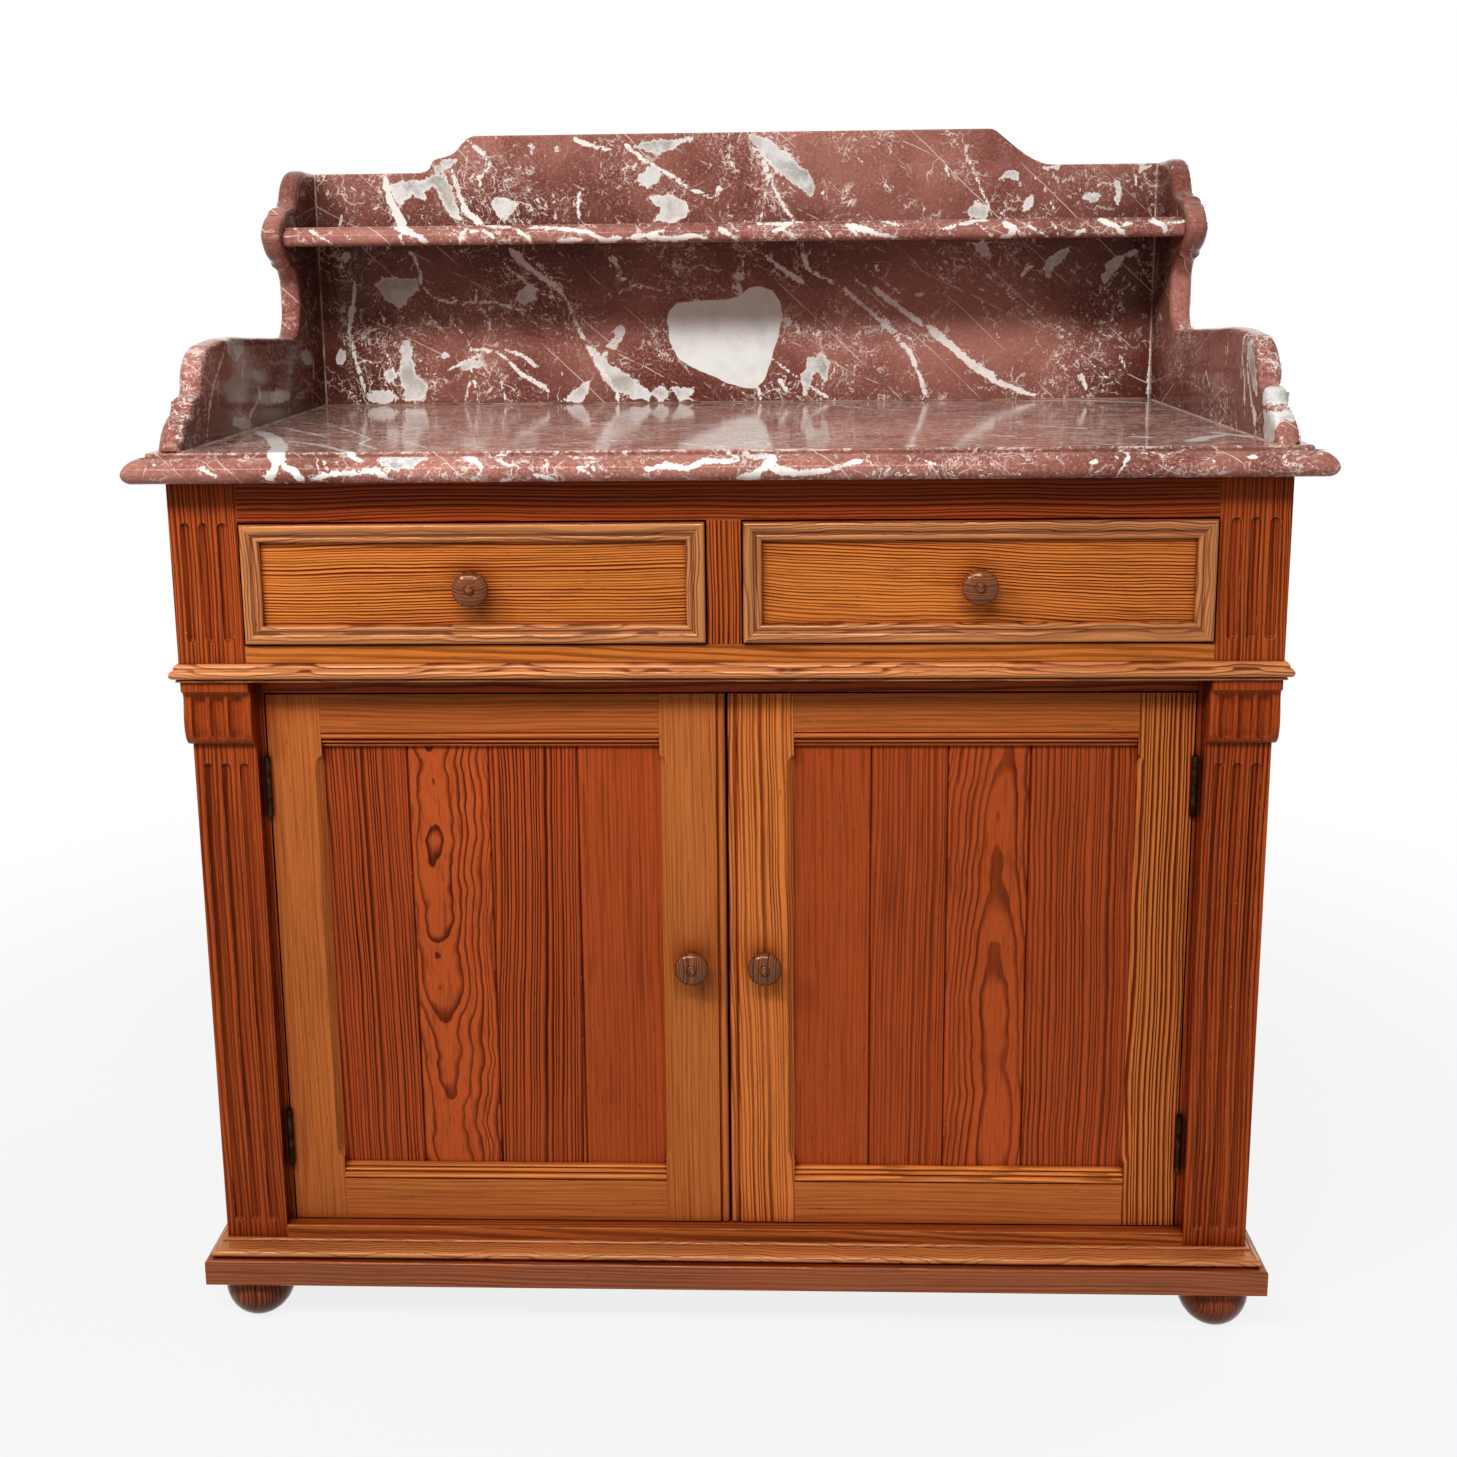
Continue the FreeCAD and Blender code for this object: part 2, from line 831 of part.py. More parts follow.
def drawer_front():
    x0, x1, z0, z1 = drawer_box()
    face = upper_face + drawer_front_recess
    board = block(x0, x1, face, face + drawer_front_thickness, z0, z1)
    board = board.cut(knob_bore(drawer_knob_place()))
    groove_back = face + drawer_front_thickness
    low = z0 + drawer_side_inset + drawer_bottom_rise
    left = x0 + drawer_side_inset + drawer_side_thickness - drawer_groove_depth
    right = x1 - drawer_side_inset - drawer_side_thickness + drawer_groove_depth
    groove = block(
        left, right, groove_back - drawer_groove_depth, groove_back, low, low + drawer_bottom_thickness
    )
    return board.cut(groove)


def drawer_moulding():
    """Four mitred strips: an outer round, a cove and an inner bead."""
    x0, x1, z0, z1 = drawer_box()
    face = upper_face + drawer_front_recess
    width = drawer_moulding_width
    depth = drawer_moulding_depth
    nose = width / 4
    cove_end = width - nose
    bead_low = depth / 4
    bead_high = depth / 2
    path = [
        (0, 0),
        (0, depth - nose / 2),
        rounded((0, depth - nose / 2), (0, depth), (nose / 2, depth)),
        rounded((nose / 2, depth), (nose, depth), (nose, depth - nose / 2)),
        rounded((nose, depth - nose / 2), (nose, bead_high), (cove_end, bead_low)),
        ((cove_end + nose / 2, bead_high), (width, bead_low)),
        (width, 0),
    ]
    corners = [V(x0, face, z0), V(x1, face, z0), V(x1, face, z1), V(x0, face, z1)]
    inwards = [UP, -RIGHT, -UP, RIGHT]
    strips = []
    for i, inward in enumerate(inwards):
        start = corners[i]
        end = corners[(i + 1) % len(corners)]
        strips.append(mitred_strip(start, end, inward, -BACK, path, width, 0, depth))
    return Part.makeCompound(strips)


def drawer_carcass_planes():
    """Inner planes of the right drawer behind its front."""
    x0, x1, z0, z1 = drawer_box()
    front = upper_face + drawer_front_recess + drawer_front_thickness
    left = x0 + drawer_side_inset
    right = x1 - drawer_side_inset
    back = boards_front - drawer_back_clearance
    low = z0 + drawer_side_inset
    return left, right, front, back, low, low + drawer_side_height


def drawer_bottom():
    left, right, front, back, low, high = drawer_carcass_planes()
    reach = drawer_side_thickness - drawer_groove_depth
    bottom_low = low + drawer_bottom_rise
    return block(
        left + reach, right - reach, front - drawer_groove_depth, back,
        bottom_low, bottom_low + drawer_bottom_thickness,
    )


def drawer_carcass():
    """Two sides and a back, grooved for the bottom."""
    left, right, front, back, low, high = drawer_carcass_planes()
    thickness = drawer_side_thickness
    back_low = low + drawer_bottom_rise + drawer_bottom_thickness
    sides = [
        block(left, left + thickness, front, back, low, high),
        block(right - thickness, right, front, back, low, high),
    ]
    bottom = drawer_bottom()
    pieces = [side.cut(bottom) for side in sides]
    pieces.append(block(left + thickness, right - thickness, back - thickness, back, back_low, high))
    return Part.makeCompound(pieces)


# Doors


def leaf_plate(z, x0, x1):
    """Flat part of a hinge leaf, between two X planes."""
    half = hinge_height / 2
    return block(x0, x1, hinge_y, hinge_y + hinge_leaf_depth, z - half, z + half)


def knuckle(z, low_share, high_share):
    """Stretch of a hinge barrel, by shares of the hinge's height."""
    low = z - hinge_height / 2 + hinge_height * low_share
    high = z - hinge_height / 2 + hinge_height * high_share
    return Part.makeCylinder(hinge_knuckle_radius, high - low, V(hinge_x, hinge_y, low), UP)


def post_leaf(z):
    """Leaf on the post: a plate, the upper and lower knuckles, and the hinge's pin."""
    plate = leaf_plate(z, post_inner, post_inner + hinge_leaf_thickness)
    leaf = plate.fuse([knuckle(z, 0, 1 / 3), knuckle(z, 2 / 3, 1)])
    clear = hinge_knuckle_radius + hinge_knuckle_gap
    third = hinge_height / 3
    middle = Part.makeCylinder(clear, third, V(hinge_x, hinge_y, z - third / 2), UP)
    leaf = leaf.cut(middle)
    pin = Part.makeCylinder(
        hinge_pin_radius, hinge_height, V(hinge_x, hinge_y, z - hinge_height / 2), UP
    )
    return leaf.fuse(pin)


def door_leaf(z):
    """Leaf on the door: a plate and the middle knuckle, bored for the pin."""
    plate = leaf_plate(z, door_outer - hinge_leaf_thickness, door_outer)
    third = hinge_height / 3
    clear = hinge_knuckle_radius + hinge_knuckle_gap
    for low in (z - hinge_height / 2, z + third / 2 - hinge_knuckle_gap):
        foot = V(hinge_x, hinge_y, low)
        plate = plate.cut(Part.makeCylinder(clear, third + hinge_knuckle_gap, foot, UP))
    low = z - third / 2 + hinge_knuckle_gap
    height = third - hinge_knuckle_gap - hinge_knuckle_gap
    foot = V(hinge_x, hinge_y, low)
    leaf = plate.fuse(Part.makeCylinder(hinge_knuckle_radius, height, foot, UP))
    bore = Part.makeCylinder(hinge_pin_radius + hinge_pin_fit, height, foot, UP)
    return leaf.cut(bore)


def hinge_stile():
    """Right door's stile next to the post, grooved for the panel and let in for the hinges."""
    inner = door_outer - hinge_stile_width
    stile = block(inner, door_outer, door_face, door_back, door_bottom, door_top)
    stile = stile.cut(panel_blank())
    stile = stile.cut(chamfer_cutter(inner, 1))
    for z in hinge_centres:
        stile = stile.cut(leaf_plate(z, door_outer - hinge_leaf_thickness, door_outer))
    return stile


def meeting_stile():
    """Right door's stile at the middle, with a bead along its edge."""
    outer = door_inner + meeting_stile_width
    stile = block(door_inner, outer, door_face, door_back, door_bottom, door_top)
    stile = stile.cut(panel_blank())
    stile = stile.cut(chamfer_cutter(outer, -1))
    quirk_x = door_inner + meeting_bead_width
    quirk = block(
        quirk_x, quirk_x + quirk_width, door_face, door_face + quirk_depth, door_bottom, door_top
    )
    return stile.cut(quirk).cut(knob_bore(door_knob_place()))


def panel_planes():
    """Visible opening of the right door's frame."""
    return (
        door_inner + meeting_stile_width,
        door_outer - hinge_stile_width,
        door_bottom + door_bottom_rail_height,
        door_top - top_rail_height,
    )


def chamfer_cutter(x, side):
    """Stopped chamfer along a stile's inner front edge, on the side that faces the panel."""
    opening_bottom, opening_top = panel_planes()[2:]
    low = opening_bottom + reeding_height + chamfer_stop
    high = opening_top - reeding_height - chamfer_stop
    size = stile_chamfer
    corner = V(x, door_face, low)
    plan = Part.makePolygon(
        [corner, corner + RIGHT * (size * side), corner + BACK * size, corner]
    )
    return Part.Face(plan).extrude(UP * (high - low))


def panel_blank():
    """Space that the panel boards fill, grooves included."""
    x0, x1, z0, z1 = panel_planes()
    reach = panel_groove_depth
    front = door_face + panel_recess
    return block(
        x0 - reach, x1 + reach, front, front + panel_thickness, z0 - reach, z1 + reach
    )


def door_rails():
    x0, x1, z0, z1 = panel_planes()
    top = block(x0, x1, door_face, door_back, z1, door_top)
    bottom = block(x0, x1, door_face, door_back, door_bottom, z0)
    return [top.cut(panel_blank()), bottom.cut(panel_blank())]


def reeding_path():
    """One large bead at the rail and two small reeds that step down to the panel."""
    depth = panel_recess + reeding_proud
    bead = reeding_height / 2
    reed = reeding_height / 4
    first = depth - reeding_proud
    second = first * 3 / 4
    third = first / 2
    return [
        (0, 0),
        (0, first),
        ((bead / 2, depth), (bead, second)),
        ((bead + reed / 2, second + reeding_proud), (bead + reed, third)),
        ((bead + reed + reed / 2, third + reeding_proud), (reeding_height, third / 2)),
        (reeding_height, 0),
    ]


def door_reeding():
    """Reeded strips under the top rail and above the bottom rail."""
    x0, x1, z0, z1 = panel_planes()
    face = door_face + panel_recess
    span = RIGHT * (x1 - x0)
    upper = section(V(x0, face, z1), -UP, -BACK, reeding_path()).extrude(span)
    lower = section(V(x0, face, z0), UP, -BACK, reeding_path()).extrude(span)
    return Part.makeCompound([upper, lower])


def panel_boards(seam_shares):
    """Upright boards in the door's frame, with a small chamfer at each seam."""
    x0, x1, z0, z1 = panel_planes()
    reach = panel_groove_depth
    front = door_face + panel_recess
    back = front + panel_thickness
    seams = [x0 + (x1 - x0) * share for share in seam_shares]
    half_gap = panel_seam_gap / 2
    starts = [x0 - reach] + [seam + half_gap for seam in seams]
    ends = [seam - half_gap for seam in seams] + [x1 + reach]
    chamfer = panel_seam_chamfer
    boards = []
    for left, right in zip(starts, ends):
        plan = Part.makePolygon([
            V(left, back, z0 - reach),
            V(left, front + chamfer, z0 - reach),
            V(left + chamfer, front, z0 - reach),
            V(right - chamfer, front, z0 - reach),
            V(right, front + chamfer, z0 - reach),
            V(right, back, z0 - reach),
            V(left, back, z0 - reach),
        ])
        boards.append(Part.Face(plan).extrude(UP * (z1 - z0 + reach + reach)))
    return Part.makeCompound(boards)


def door_knob_place():
    return V(door_inner + door_knob_inset, door_face, door_bottom + door_knob_rise)


# Ball catches


def catch_places():
    """Feet of the catch barrels, on the underside of the head rail."""
    low = cupboard_top - head_rail_height
    y = door_face + door_thickness / 2
    return [V(x, y, low) for x in (-catch_inset, catch_inset)]


def catch_bores():
    return Part.makeCompound(
        [Part.makeCylinder(catch_radius, catch_length, place, UP) for place in catch_places()]
    )


def door_catches():
    """Brass barrels let into the head rail, each with a ball that stands a little proud."""
    catches = []
    for place in catch_places():
        barrel = Part.makeCylinder(catch_radius, catch_length, place, UP)
        ball = Part.makeSphere(catch_ball_radius, place + UP * (catch_ball_radius - catch_ball_proud))
        catches.append(barrel.fuse(ball))
    return Part.makeCompound(catches)


def save(name, shape):
    shape.exportStep("parts/" + name + ".step")


def save_pair(name, right_shape):
    save(name + "_right", right_shape)
    save(name + "_left", mirrored(right_shape))


def save_marble():
    save("marble_top", marble_top())
    save_pair("marble_splash", marble_splash())
    save("marble_backboard", marble_backboard())
    save("marble_shelf", marble_shelf())
    save("marble_pins", marble_pins())


def save_case():
    save_pair("upper_pilaster", upper_pilaster())
    save_pair("lower_pilaster", lower_pilaster())
    save_pair("corbel", corbel())
    save_pair("side_board", side_board())
    save("frieze_rail", frieze_rail())
    save("drawer_rail", drawer_rail())
    save("drawer_muntin", drawer_muntin())
    save("waist_board", waist_board())
    save("waist_moulding", waist_moulding())
    save("head_rail", head_rail())
    save("bottom_rail", bottom_rail())
    save("floor_board", floor_board())
    save("back_boards", back_boards())
    save("inner_shelf", inner_shelf())
    save("case_battens", case_battens())


def save_base():
    save("plinth_boards", plinth_boards())
    save("base_moulding", base_moulding())
    save("corner_blocks", corner_blocks())
    for corner, place in foot_places().items():
        save("foot_" + corner, bun_foot(place))


def save_drawers():
    save_pair("drawer_front", drawer_front())
    save_pair("drawer_moulding", drawer_moulding())
    save_pair("drawer_carcass", drawer_carcass())
    save_pair("drawer_bottom", drawer_bottom())
    save_pair("drawer_knob", knob(drawer_knob_place()))


def save_doors():
    save_pair("hinge_stile", hinge_stile())
    save_pair("meeting_stile", meeting_stile())
    top, bottom = door_rails()
    save_pair("door_top_rail", top)
    save_pair("door_bottom_rail", bottom)
    save_pair("door_reeding", door_reeding())
    save("door_panel_right", panel_boards(right_seam_shares))
    save("door_panel_left", mirrored(panel_boards(left_seam_shares)))
    save_pair("door_knob", knob(door_knob_place()))
    save_pair("door_hinge_leaves", Part.makeCompound([door_leaf(z) for z in hinge_centres]))
    post_leaves = [post_leaf(z) for z in hinge_centres]
    save("post_hinge_leaves", Part.makeCompound(post_leaves + [mirrored(leaf) for leaf in post_leaves]))
    save("door_catches", door_catches())


save_marble()
save_case()
save_base()
save_drawers()
save_doors()
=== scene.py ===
import json
import math
import random

import bmesh
import bpy
import numpy as np
from mathutils import Matrix, Vector

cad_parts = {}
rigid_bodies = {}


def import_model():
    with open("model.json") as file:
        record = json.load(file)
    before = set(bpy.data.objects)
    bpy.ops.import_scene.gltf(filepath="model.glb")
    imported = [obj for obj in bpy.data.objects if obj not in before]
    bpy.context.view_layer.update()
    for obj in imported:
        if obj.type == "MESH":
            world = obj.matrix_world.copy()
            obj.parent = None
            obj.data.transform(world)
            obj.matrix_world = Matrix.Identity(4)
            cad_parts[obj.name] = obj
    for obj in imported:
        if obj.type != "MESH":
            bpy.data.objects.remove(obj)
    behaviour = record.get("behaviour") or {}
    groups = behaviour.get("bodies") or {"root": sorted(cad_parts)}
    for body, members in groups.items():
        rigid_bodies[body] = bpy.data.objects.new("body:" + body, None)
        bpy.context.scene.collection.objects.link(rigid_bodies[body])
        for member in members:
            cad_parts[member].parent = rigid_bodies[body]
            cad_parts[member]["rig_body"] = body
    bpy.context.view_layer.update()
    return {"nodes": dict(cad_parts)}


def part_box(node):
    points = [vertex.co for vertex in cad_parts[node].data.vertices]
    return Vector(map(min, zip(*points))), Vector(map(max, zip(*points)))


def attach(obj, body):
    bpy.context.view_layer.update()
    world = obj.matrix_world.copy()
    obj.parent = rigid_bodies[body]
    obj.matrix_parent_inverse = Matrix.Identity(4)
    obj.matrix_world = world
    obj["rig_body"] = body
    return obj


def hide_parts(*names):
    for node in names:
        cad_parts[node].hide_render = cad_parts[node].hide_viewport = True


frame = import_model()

MM = 0.001
RIGHT = Vector((1, 0, 0))
BACK = Vector((0, 1, 0))
UP = Vector((0, 0, 1))
AXES = {"x": 0, "y": 1, "z": 2}
SIDES = ("left", "right")

# The camera, solved from the edges of the stand: metres and radians, and pixels of the photo
CAMERA_PLACE = Vector((0.04247, -1.78614, 1.06461))
CAMERA_YAW, CAMERA_PITCH, CAMERA_ROLL = -0.0375, -0.1884, -0.0115
CAMERA_FOCUS = 1682.96
CAMERA_MIDDLE = (707.72, 583.32)
FRAME_PIXELS = 1457
SENSOR_WIDTH = 36.0
CAMERA_REACH = 60.0

# Where the slabs of marble meet
SPLASH_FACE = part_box("marble_splash_right")[0].x
COUNTER_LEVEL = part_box("marble_splash_right")[0].z
BACKBOARD_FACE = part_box("marble_backboard")[0].y

# Edge softening and turning
WOOD_ARRIS = 0.7 * MM
CRISP_ARRIS = 0.45 * MM
JOINT_ARRIS = 0.15 * MM
MARBLE_ARRIS = 1.6 * MM
COUNTER_ARRIS = 0.5 * MM
SHELF_ARRIS = 0.4 * MM
SPLASH_ROUND = 8.0 * MM
SHARP_ANGLE = math.radians(38)
STILE_SHARP_ANGLE = math.radians(60)
FLAT_ANGLE = math.radians(0.4)
WELD = 0.004 * MM
TURNING_STEPS = 72

# How far the painted shade in corners and recesses reaches
CREASE_REACH = 9 * MM
RECESS_REACH = 60 * MM
STONE_SHADE_REACH = 130 * MM


def paint(red, green, blue):
    """Linear colour from the 0 to 255 values of a paint chart."""
    def linear(value):
        share = value / 255
        return share / 12.92 if share <= 0.04045 else ((share + 0.055) / 1.055) ** 2.4

    return (linear(red), linear(green), linear(blue), 1.0)


class Recipe:
    """A material or world built from nodes, with short ways to add and link them."""

    def __init__(self, owner):
        self.owner = owner
        owner.use_nodes = True
        self.tree = owner.node_tree
        self.tree.nodes.clear()

    def add(self, kind, sockets=None, **settings):
        made = self.tree.nodes.new("ShaderNode" + kind)
        for key, value in settings.items():
            setattr(made, key, value)
        for socket, value in (sockets or {}).items():
            self.feed(made.inputs[socket], value)
        return made

    def feed(self, socket, value):
        if isinstance(value, bpy.types.NodeSocket):
            self.tree.links.new(value, socket)
        else:
            socket.default_value = value

    def place(self):
        return self.add("TexCoord").outputs["Object"]

    def attribute(self, name, output="Fac"):
        return self.add("Attribute", attribute_name=name).outputs[output]

    def axes(self, vector):
        return self.add("SeparateXYZ", {"Vector": vector}).outputs

    def maths(self, operation, first, second=0.0, third=0.0):
        return self.add("Math", {0: first, 1: second, 2: third}, operation=operation).outputs[0]

    def chain(self, operation, values):
        total = values[0]
        for value in values[1:]:
            total = self.maths(operation, total, value)
        return total

    def times(self, *values):
        return self.chain("MULTIPLY", values)

    def plus(self, *values):
        return self.chain("ADD", values)

    def most(self, *values):
        return self.chain("MAXIMUM", values)

    def away(self, first, second):
        """Distance between two numbers."""
        return self.maths("ABSOLUTE", self.maths("SUBTRACT", first, second))

    def clamp(self, value):
        return self.add("Clamp", {"Value": value}).outputs["Result"]

    def vector(self, operation, first, second):
        made = self.add("VectorMath", {0: first}, operation=operation)
        self.feed(made.inputs["Scale" if operation == "SCALE" else 1], second)
        return made.outputs["Vector"]

    def stretched(self, vector, across, along):
        return self.vector("MULTIPLY", vector, (across, across, along))

    def length(self, vector):
        return self.add("VectorMath", {0: vector}, operation="LENGTH").outputs["Value"]

    def noise(self, vector, scale, detail=2.0, roughness=0.5, distortion=0.0, output="Fac"):
        return self.add("TexNoise", {
            "Vector": vector, "Scale": scale, "Detail": detail,
            "Roughness": roughness, "Distortion": distortion,
        }).outputs[output]

    def sway(self, vector, scale, detail, roughness, reach):
        """Number that wanders about zero, half of the reach to each side."""
        return self.times(self.maths("SUBTRACT", self.noise(vector, scale, detail, roughness), 0.5), reach)

    def drift(self, vector, scale, detail, roughness, reach):
        """Vector that wanders about zero, half of the reach to each side."""
        noise = self.noise(vector, scale, detail, roughness, 0.0, "Color")
        return self.vector("SCALE", self.vector("SUBTRACT", noise, (0.5, 0.5, 0.5)), reach)

    def cells(self, vector, scale, feature="DISTANCE_TO_EDGE"):
        made = self.add("TexVoronoi", {"Vector": vector, "Scale": scale}, feature=feature)
        return made.outputs["Distance"]

    def occlusion(self, reach, samples=4):
        made = self.add("AmbientOcclusion", {"Distance": reach}, samples=samples, only_local=False)
        return made.outputs["AO"]

    def span(self, value, low, high, start=0.0, end=1.0, smooth=True):
        """Turn a range of one value into a range of another."""
        made = self.add("MapRange", {
            "Value": value, "From Min": low, "From Max": high, "To Min": start, "To Max": end,
        })
        made.interpolation_type = "SMOOTHSTEP" if smooth else "LINEAR"
        return made.outputs["Result"]

    def blend(self, share, first, second, mode="MIX"):
        made = self.add("Mix", data_type="RGBA", blend_type=mode)
        made.clamp_factor = True
        self.feed(made.inputs[0], share)
        colours = [socket for socket in made.inputs if socket.type == "RGBA"]
        self.feed(colours[0], first)
        self.feed(colours[1], second)
        return [socket for socket in made.outputs if socket.type == "RGBA"][0]

    def tinted(self, share, colour, red, green, blue):
        """Colour that takes on a tint by a share."""
        return self.blend(share, colour, self.blend(1.0, colour, (red, green, blue, 1.0), "MULTIPLY"))

    def dimmed(self, colour, value):
        grey = self.add("CombineColor", {"Red": value, "Green": value, "Blue": value})
        return self.blend(1.0, colour, grey.outputs["Color"], "MULTIPLY")

    def bump(self, height, strength, distance, normal=None):
        sockets = {"Height": height, "Strength": strength, "Distance": distance}
        if normal is not None:
            sockets["Normal"] = normal
        return self.add("Bump", sockets).outputs["Normal"]

    def glow_to_camera(self):
        """One for what is seen, straight or by a mirror, and nought for what lights the stand."""
        path = self.add("LightPath").outputs
        return self.most(path["Is Camera Ray"], path["Is Transmission Ray"], path["Is Glossy Ray"])

    def finish(self, sockets):
        surface = self.add("BsdfPrincipled", sockets)
        self.add("OutputMaterial", {"Surface": surface.outputs["BSDF"]})
        return self.owner


def material(name):
    return Recipe(bpy.data.materials.new(name))


# Wood finishes. Each board carries a grain attribute: a place measured from its own pith, in metres.


def wood(name, early, late, worn, ring_gap, line_strength, roughness=0.36, shine=0.14,
         sheen=(1.0, 0.58, 0.34), unrest=3.6, crease_shade=0.0):
    """Polished pitch pine with growth rings, fine fibres and resin streaks."""
    r = material(name)
    early, late, worn = paint(*early), paint(*late), paint(*worn)
    grain = r.attribute("grain", "Vector")
    arris = r.attribute("arris")
    figure = r.attribute("figure")
    bent = grain
    for across, along, detail, roughness_share, reach in (
            (7.0, 2.6, 2.0, 0.5, 0.016), (70.0, 14.0, 2.0, 0.6, 0.0020),
            (6.0, 7.5, 3.0, 0.5, r.times(figure, 0.075))):
        bent = r.vector("ADD", bent, r.drift(
            r.stretched(grain, across, along), 1.0, detail, roughness_share, reach))
    # the rings: pale in spring, dark in summer, with a sharp end
    years = r.maths("DIVIDE", r.length(r.stretched(bent, 1.0, 0.0)), ring_gap * MM)
    season = r.add("TexNoise", {"W": r.times(years, 0.21), "Scale": 1.0, "Detail": 2.0},
                   noise_dimensions="1D").outputs["Fac"]
    phase = r.maths("FRACT", r.plus(years, r.times(season, unrest)))
    start = r.plus(r.times(figure, 0.42), 0.36)
    summer = r.clamp(r.maths("DIVIDE", r.maths("SUBTRACT", phase, start), 0.30))
    ring = r.times(summer, r.span(phase, 0.94, 1.0, 1.0, 0.0))
    patchy = r.noise(r.stretched(grain, 30.0, 3.0), 1.0)
    line = r.times(ring, r.span(patchy, 0.28, 0.66, line_strength * 0.62, line_strength),
                   r.attribute("contrast"))
    # fibres, resin streaks and pits
    fibre = r.noise(r.stretched(grain, 1300.0, 20.0), 1.0, 2.0, 0.6)
    streak = r.noise(r.stretched(grain, 420.0, 9.0), 1.0, 3.0, 0.6)
    pits = r.noise(r.stretched(grain, 1000.0, 85.0), 1.0, 1.0)
    colour = r.blend(line, early, late)
    colour = r.blend(r.span(streak, 0.30, 0.50, 0.42, 0.0), colour, late)
    colour = r.dimmed(colour, r.span(fibre, 0.25, 0.75, 0.82, 1.13, False))
    colour = r.blend(r.span(pits, 0.70, 0.76, 0.0, 0.6), colour, late)
    # the tone of the board, and clouds in it
    tone = r.times(r.maths("SUBTRACT", r.attribute("tone"), 0.5), 0.45)
    cloud = r.noise(r.place(), 3.4, 3.0, 0.55)
    colour = r.dimmed(colour, r.plus(tone, r.span(cloud, 0.3, 0.7, 0.88, 1.10, False)))
    # worn arrises, a darker or paler stain, and chips; the stain on the upper door reeding is painted shade,
    # and on the lower pilasters partly painted shade
    rub = r.noise(r.place(), 55.0, 3.0, 0.65)
    colour = r.blend(r.times(arris, r.span(rub, 0.42, 0.66, 0.10, 0.65)), colour, worn)
    stain = r.attribute("stain")
    colour = r.tinted(r.clamp(stain), colour, 0.60, 0.36, 0.32)
    colour = r.tinted(r.clamp(r.times(stain, -1.0)), colour, 1.06, 1.75, 1.5)
    chip = r.noise(r.place(), 130.0, 2.0, 0.7)
    colour = r.blend(r.times(arris, r.span(chip, 0.70, 0.73, 0.0, 0.9)), colour, paint(226, 182, 150))
    # painted shade in the creases and recesses: darker and redder where they are hidden, near black deep in
    # them
    if crease_shade:
        crease_occlusion = r.occlusion(CREASE_REACH)
        colour = r.tinted(r.span(crease_occlusion, 0.30, 0.90, crease_shade, 0.0), colour, 0.36, 0.17, 0.12)
    shade = r.occlusion(RECESS_REACH, 5)
    colour = r.tinted(r.span(shade, 0.40, 0.97, 0.95, 0.0), colour, 0.54, 0.25, 0.16)
    colour = r.blend(r.span(shade, 0.06, 0.50, 0.92, 0.0), colour, (0.016, 0.004, 0.001, 1.0))
    smear = r.noise(r.place(), 14.0, 4.0, 0.6)
    gloss = r.span(smear, 0.3, 0.72, roughness - 0.05, roughness + 0.10, False)
    relief = r.bump(fibre, 0.20, 0.00025)
    relief = r.bump(line, 0.22, 0.0003, relief)
    relief = r.bump(r.noise(r.place(), 26.0), 0.10, 0.0012, relief)
    return r.finish({
        "Base Color": colour, "Roughness": r.plus(gloss, r.times(line, -0.05)), "Normal": relief,
        "Specular IOR Level": shine, "Specular Tint": (*sheen, 1.0),
    })


def plain_pine(name, early, late):
    """Unpolished inner wood, on places that carry no grain of their own."""
    r = material(name)
    place = r.vector("MULTIPLY", r.place(), (0.35, 1.0, 1.0))
    middle = r.vector("ADD", place, (0.0, 0.31, -0.4))
    radius = r.length(r.vector("MULTIPLY", middle, (0.1, 1.0, 1.0)))
    years = r.plus(r.maths("DIVIDE", radius, 0.006), r.times(r.noise(place, 5.0), 4.0))
    ring = r.span(r.maths("FRACT", years), 0.3, 0.95)
    fibre = r.noise(r.vector("MULTIPLY", place, (60.0, 700.0, 700.0)), 1.0, 2.0, 0.6)
    colour = r.blend(r.times(ring, 0.55), early, late)
    colour = r.blend(r.span(fibre, 0.3, 0.6, 0.3, 0.0), colour, late)
    return r.finish({
        "Base Color": colour, "Roughness": r.span(fibre, 0.2, 0.8, 0.62, 0.78, False),
        "Normal": r.bump(fibre, 0.2, 0.0003),
    })


# Stone and metal


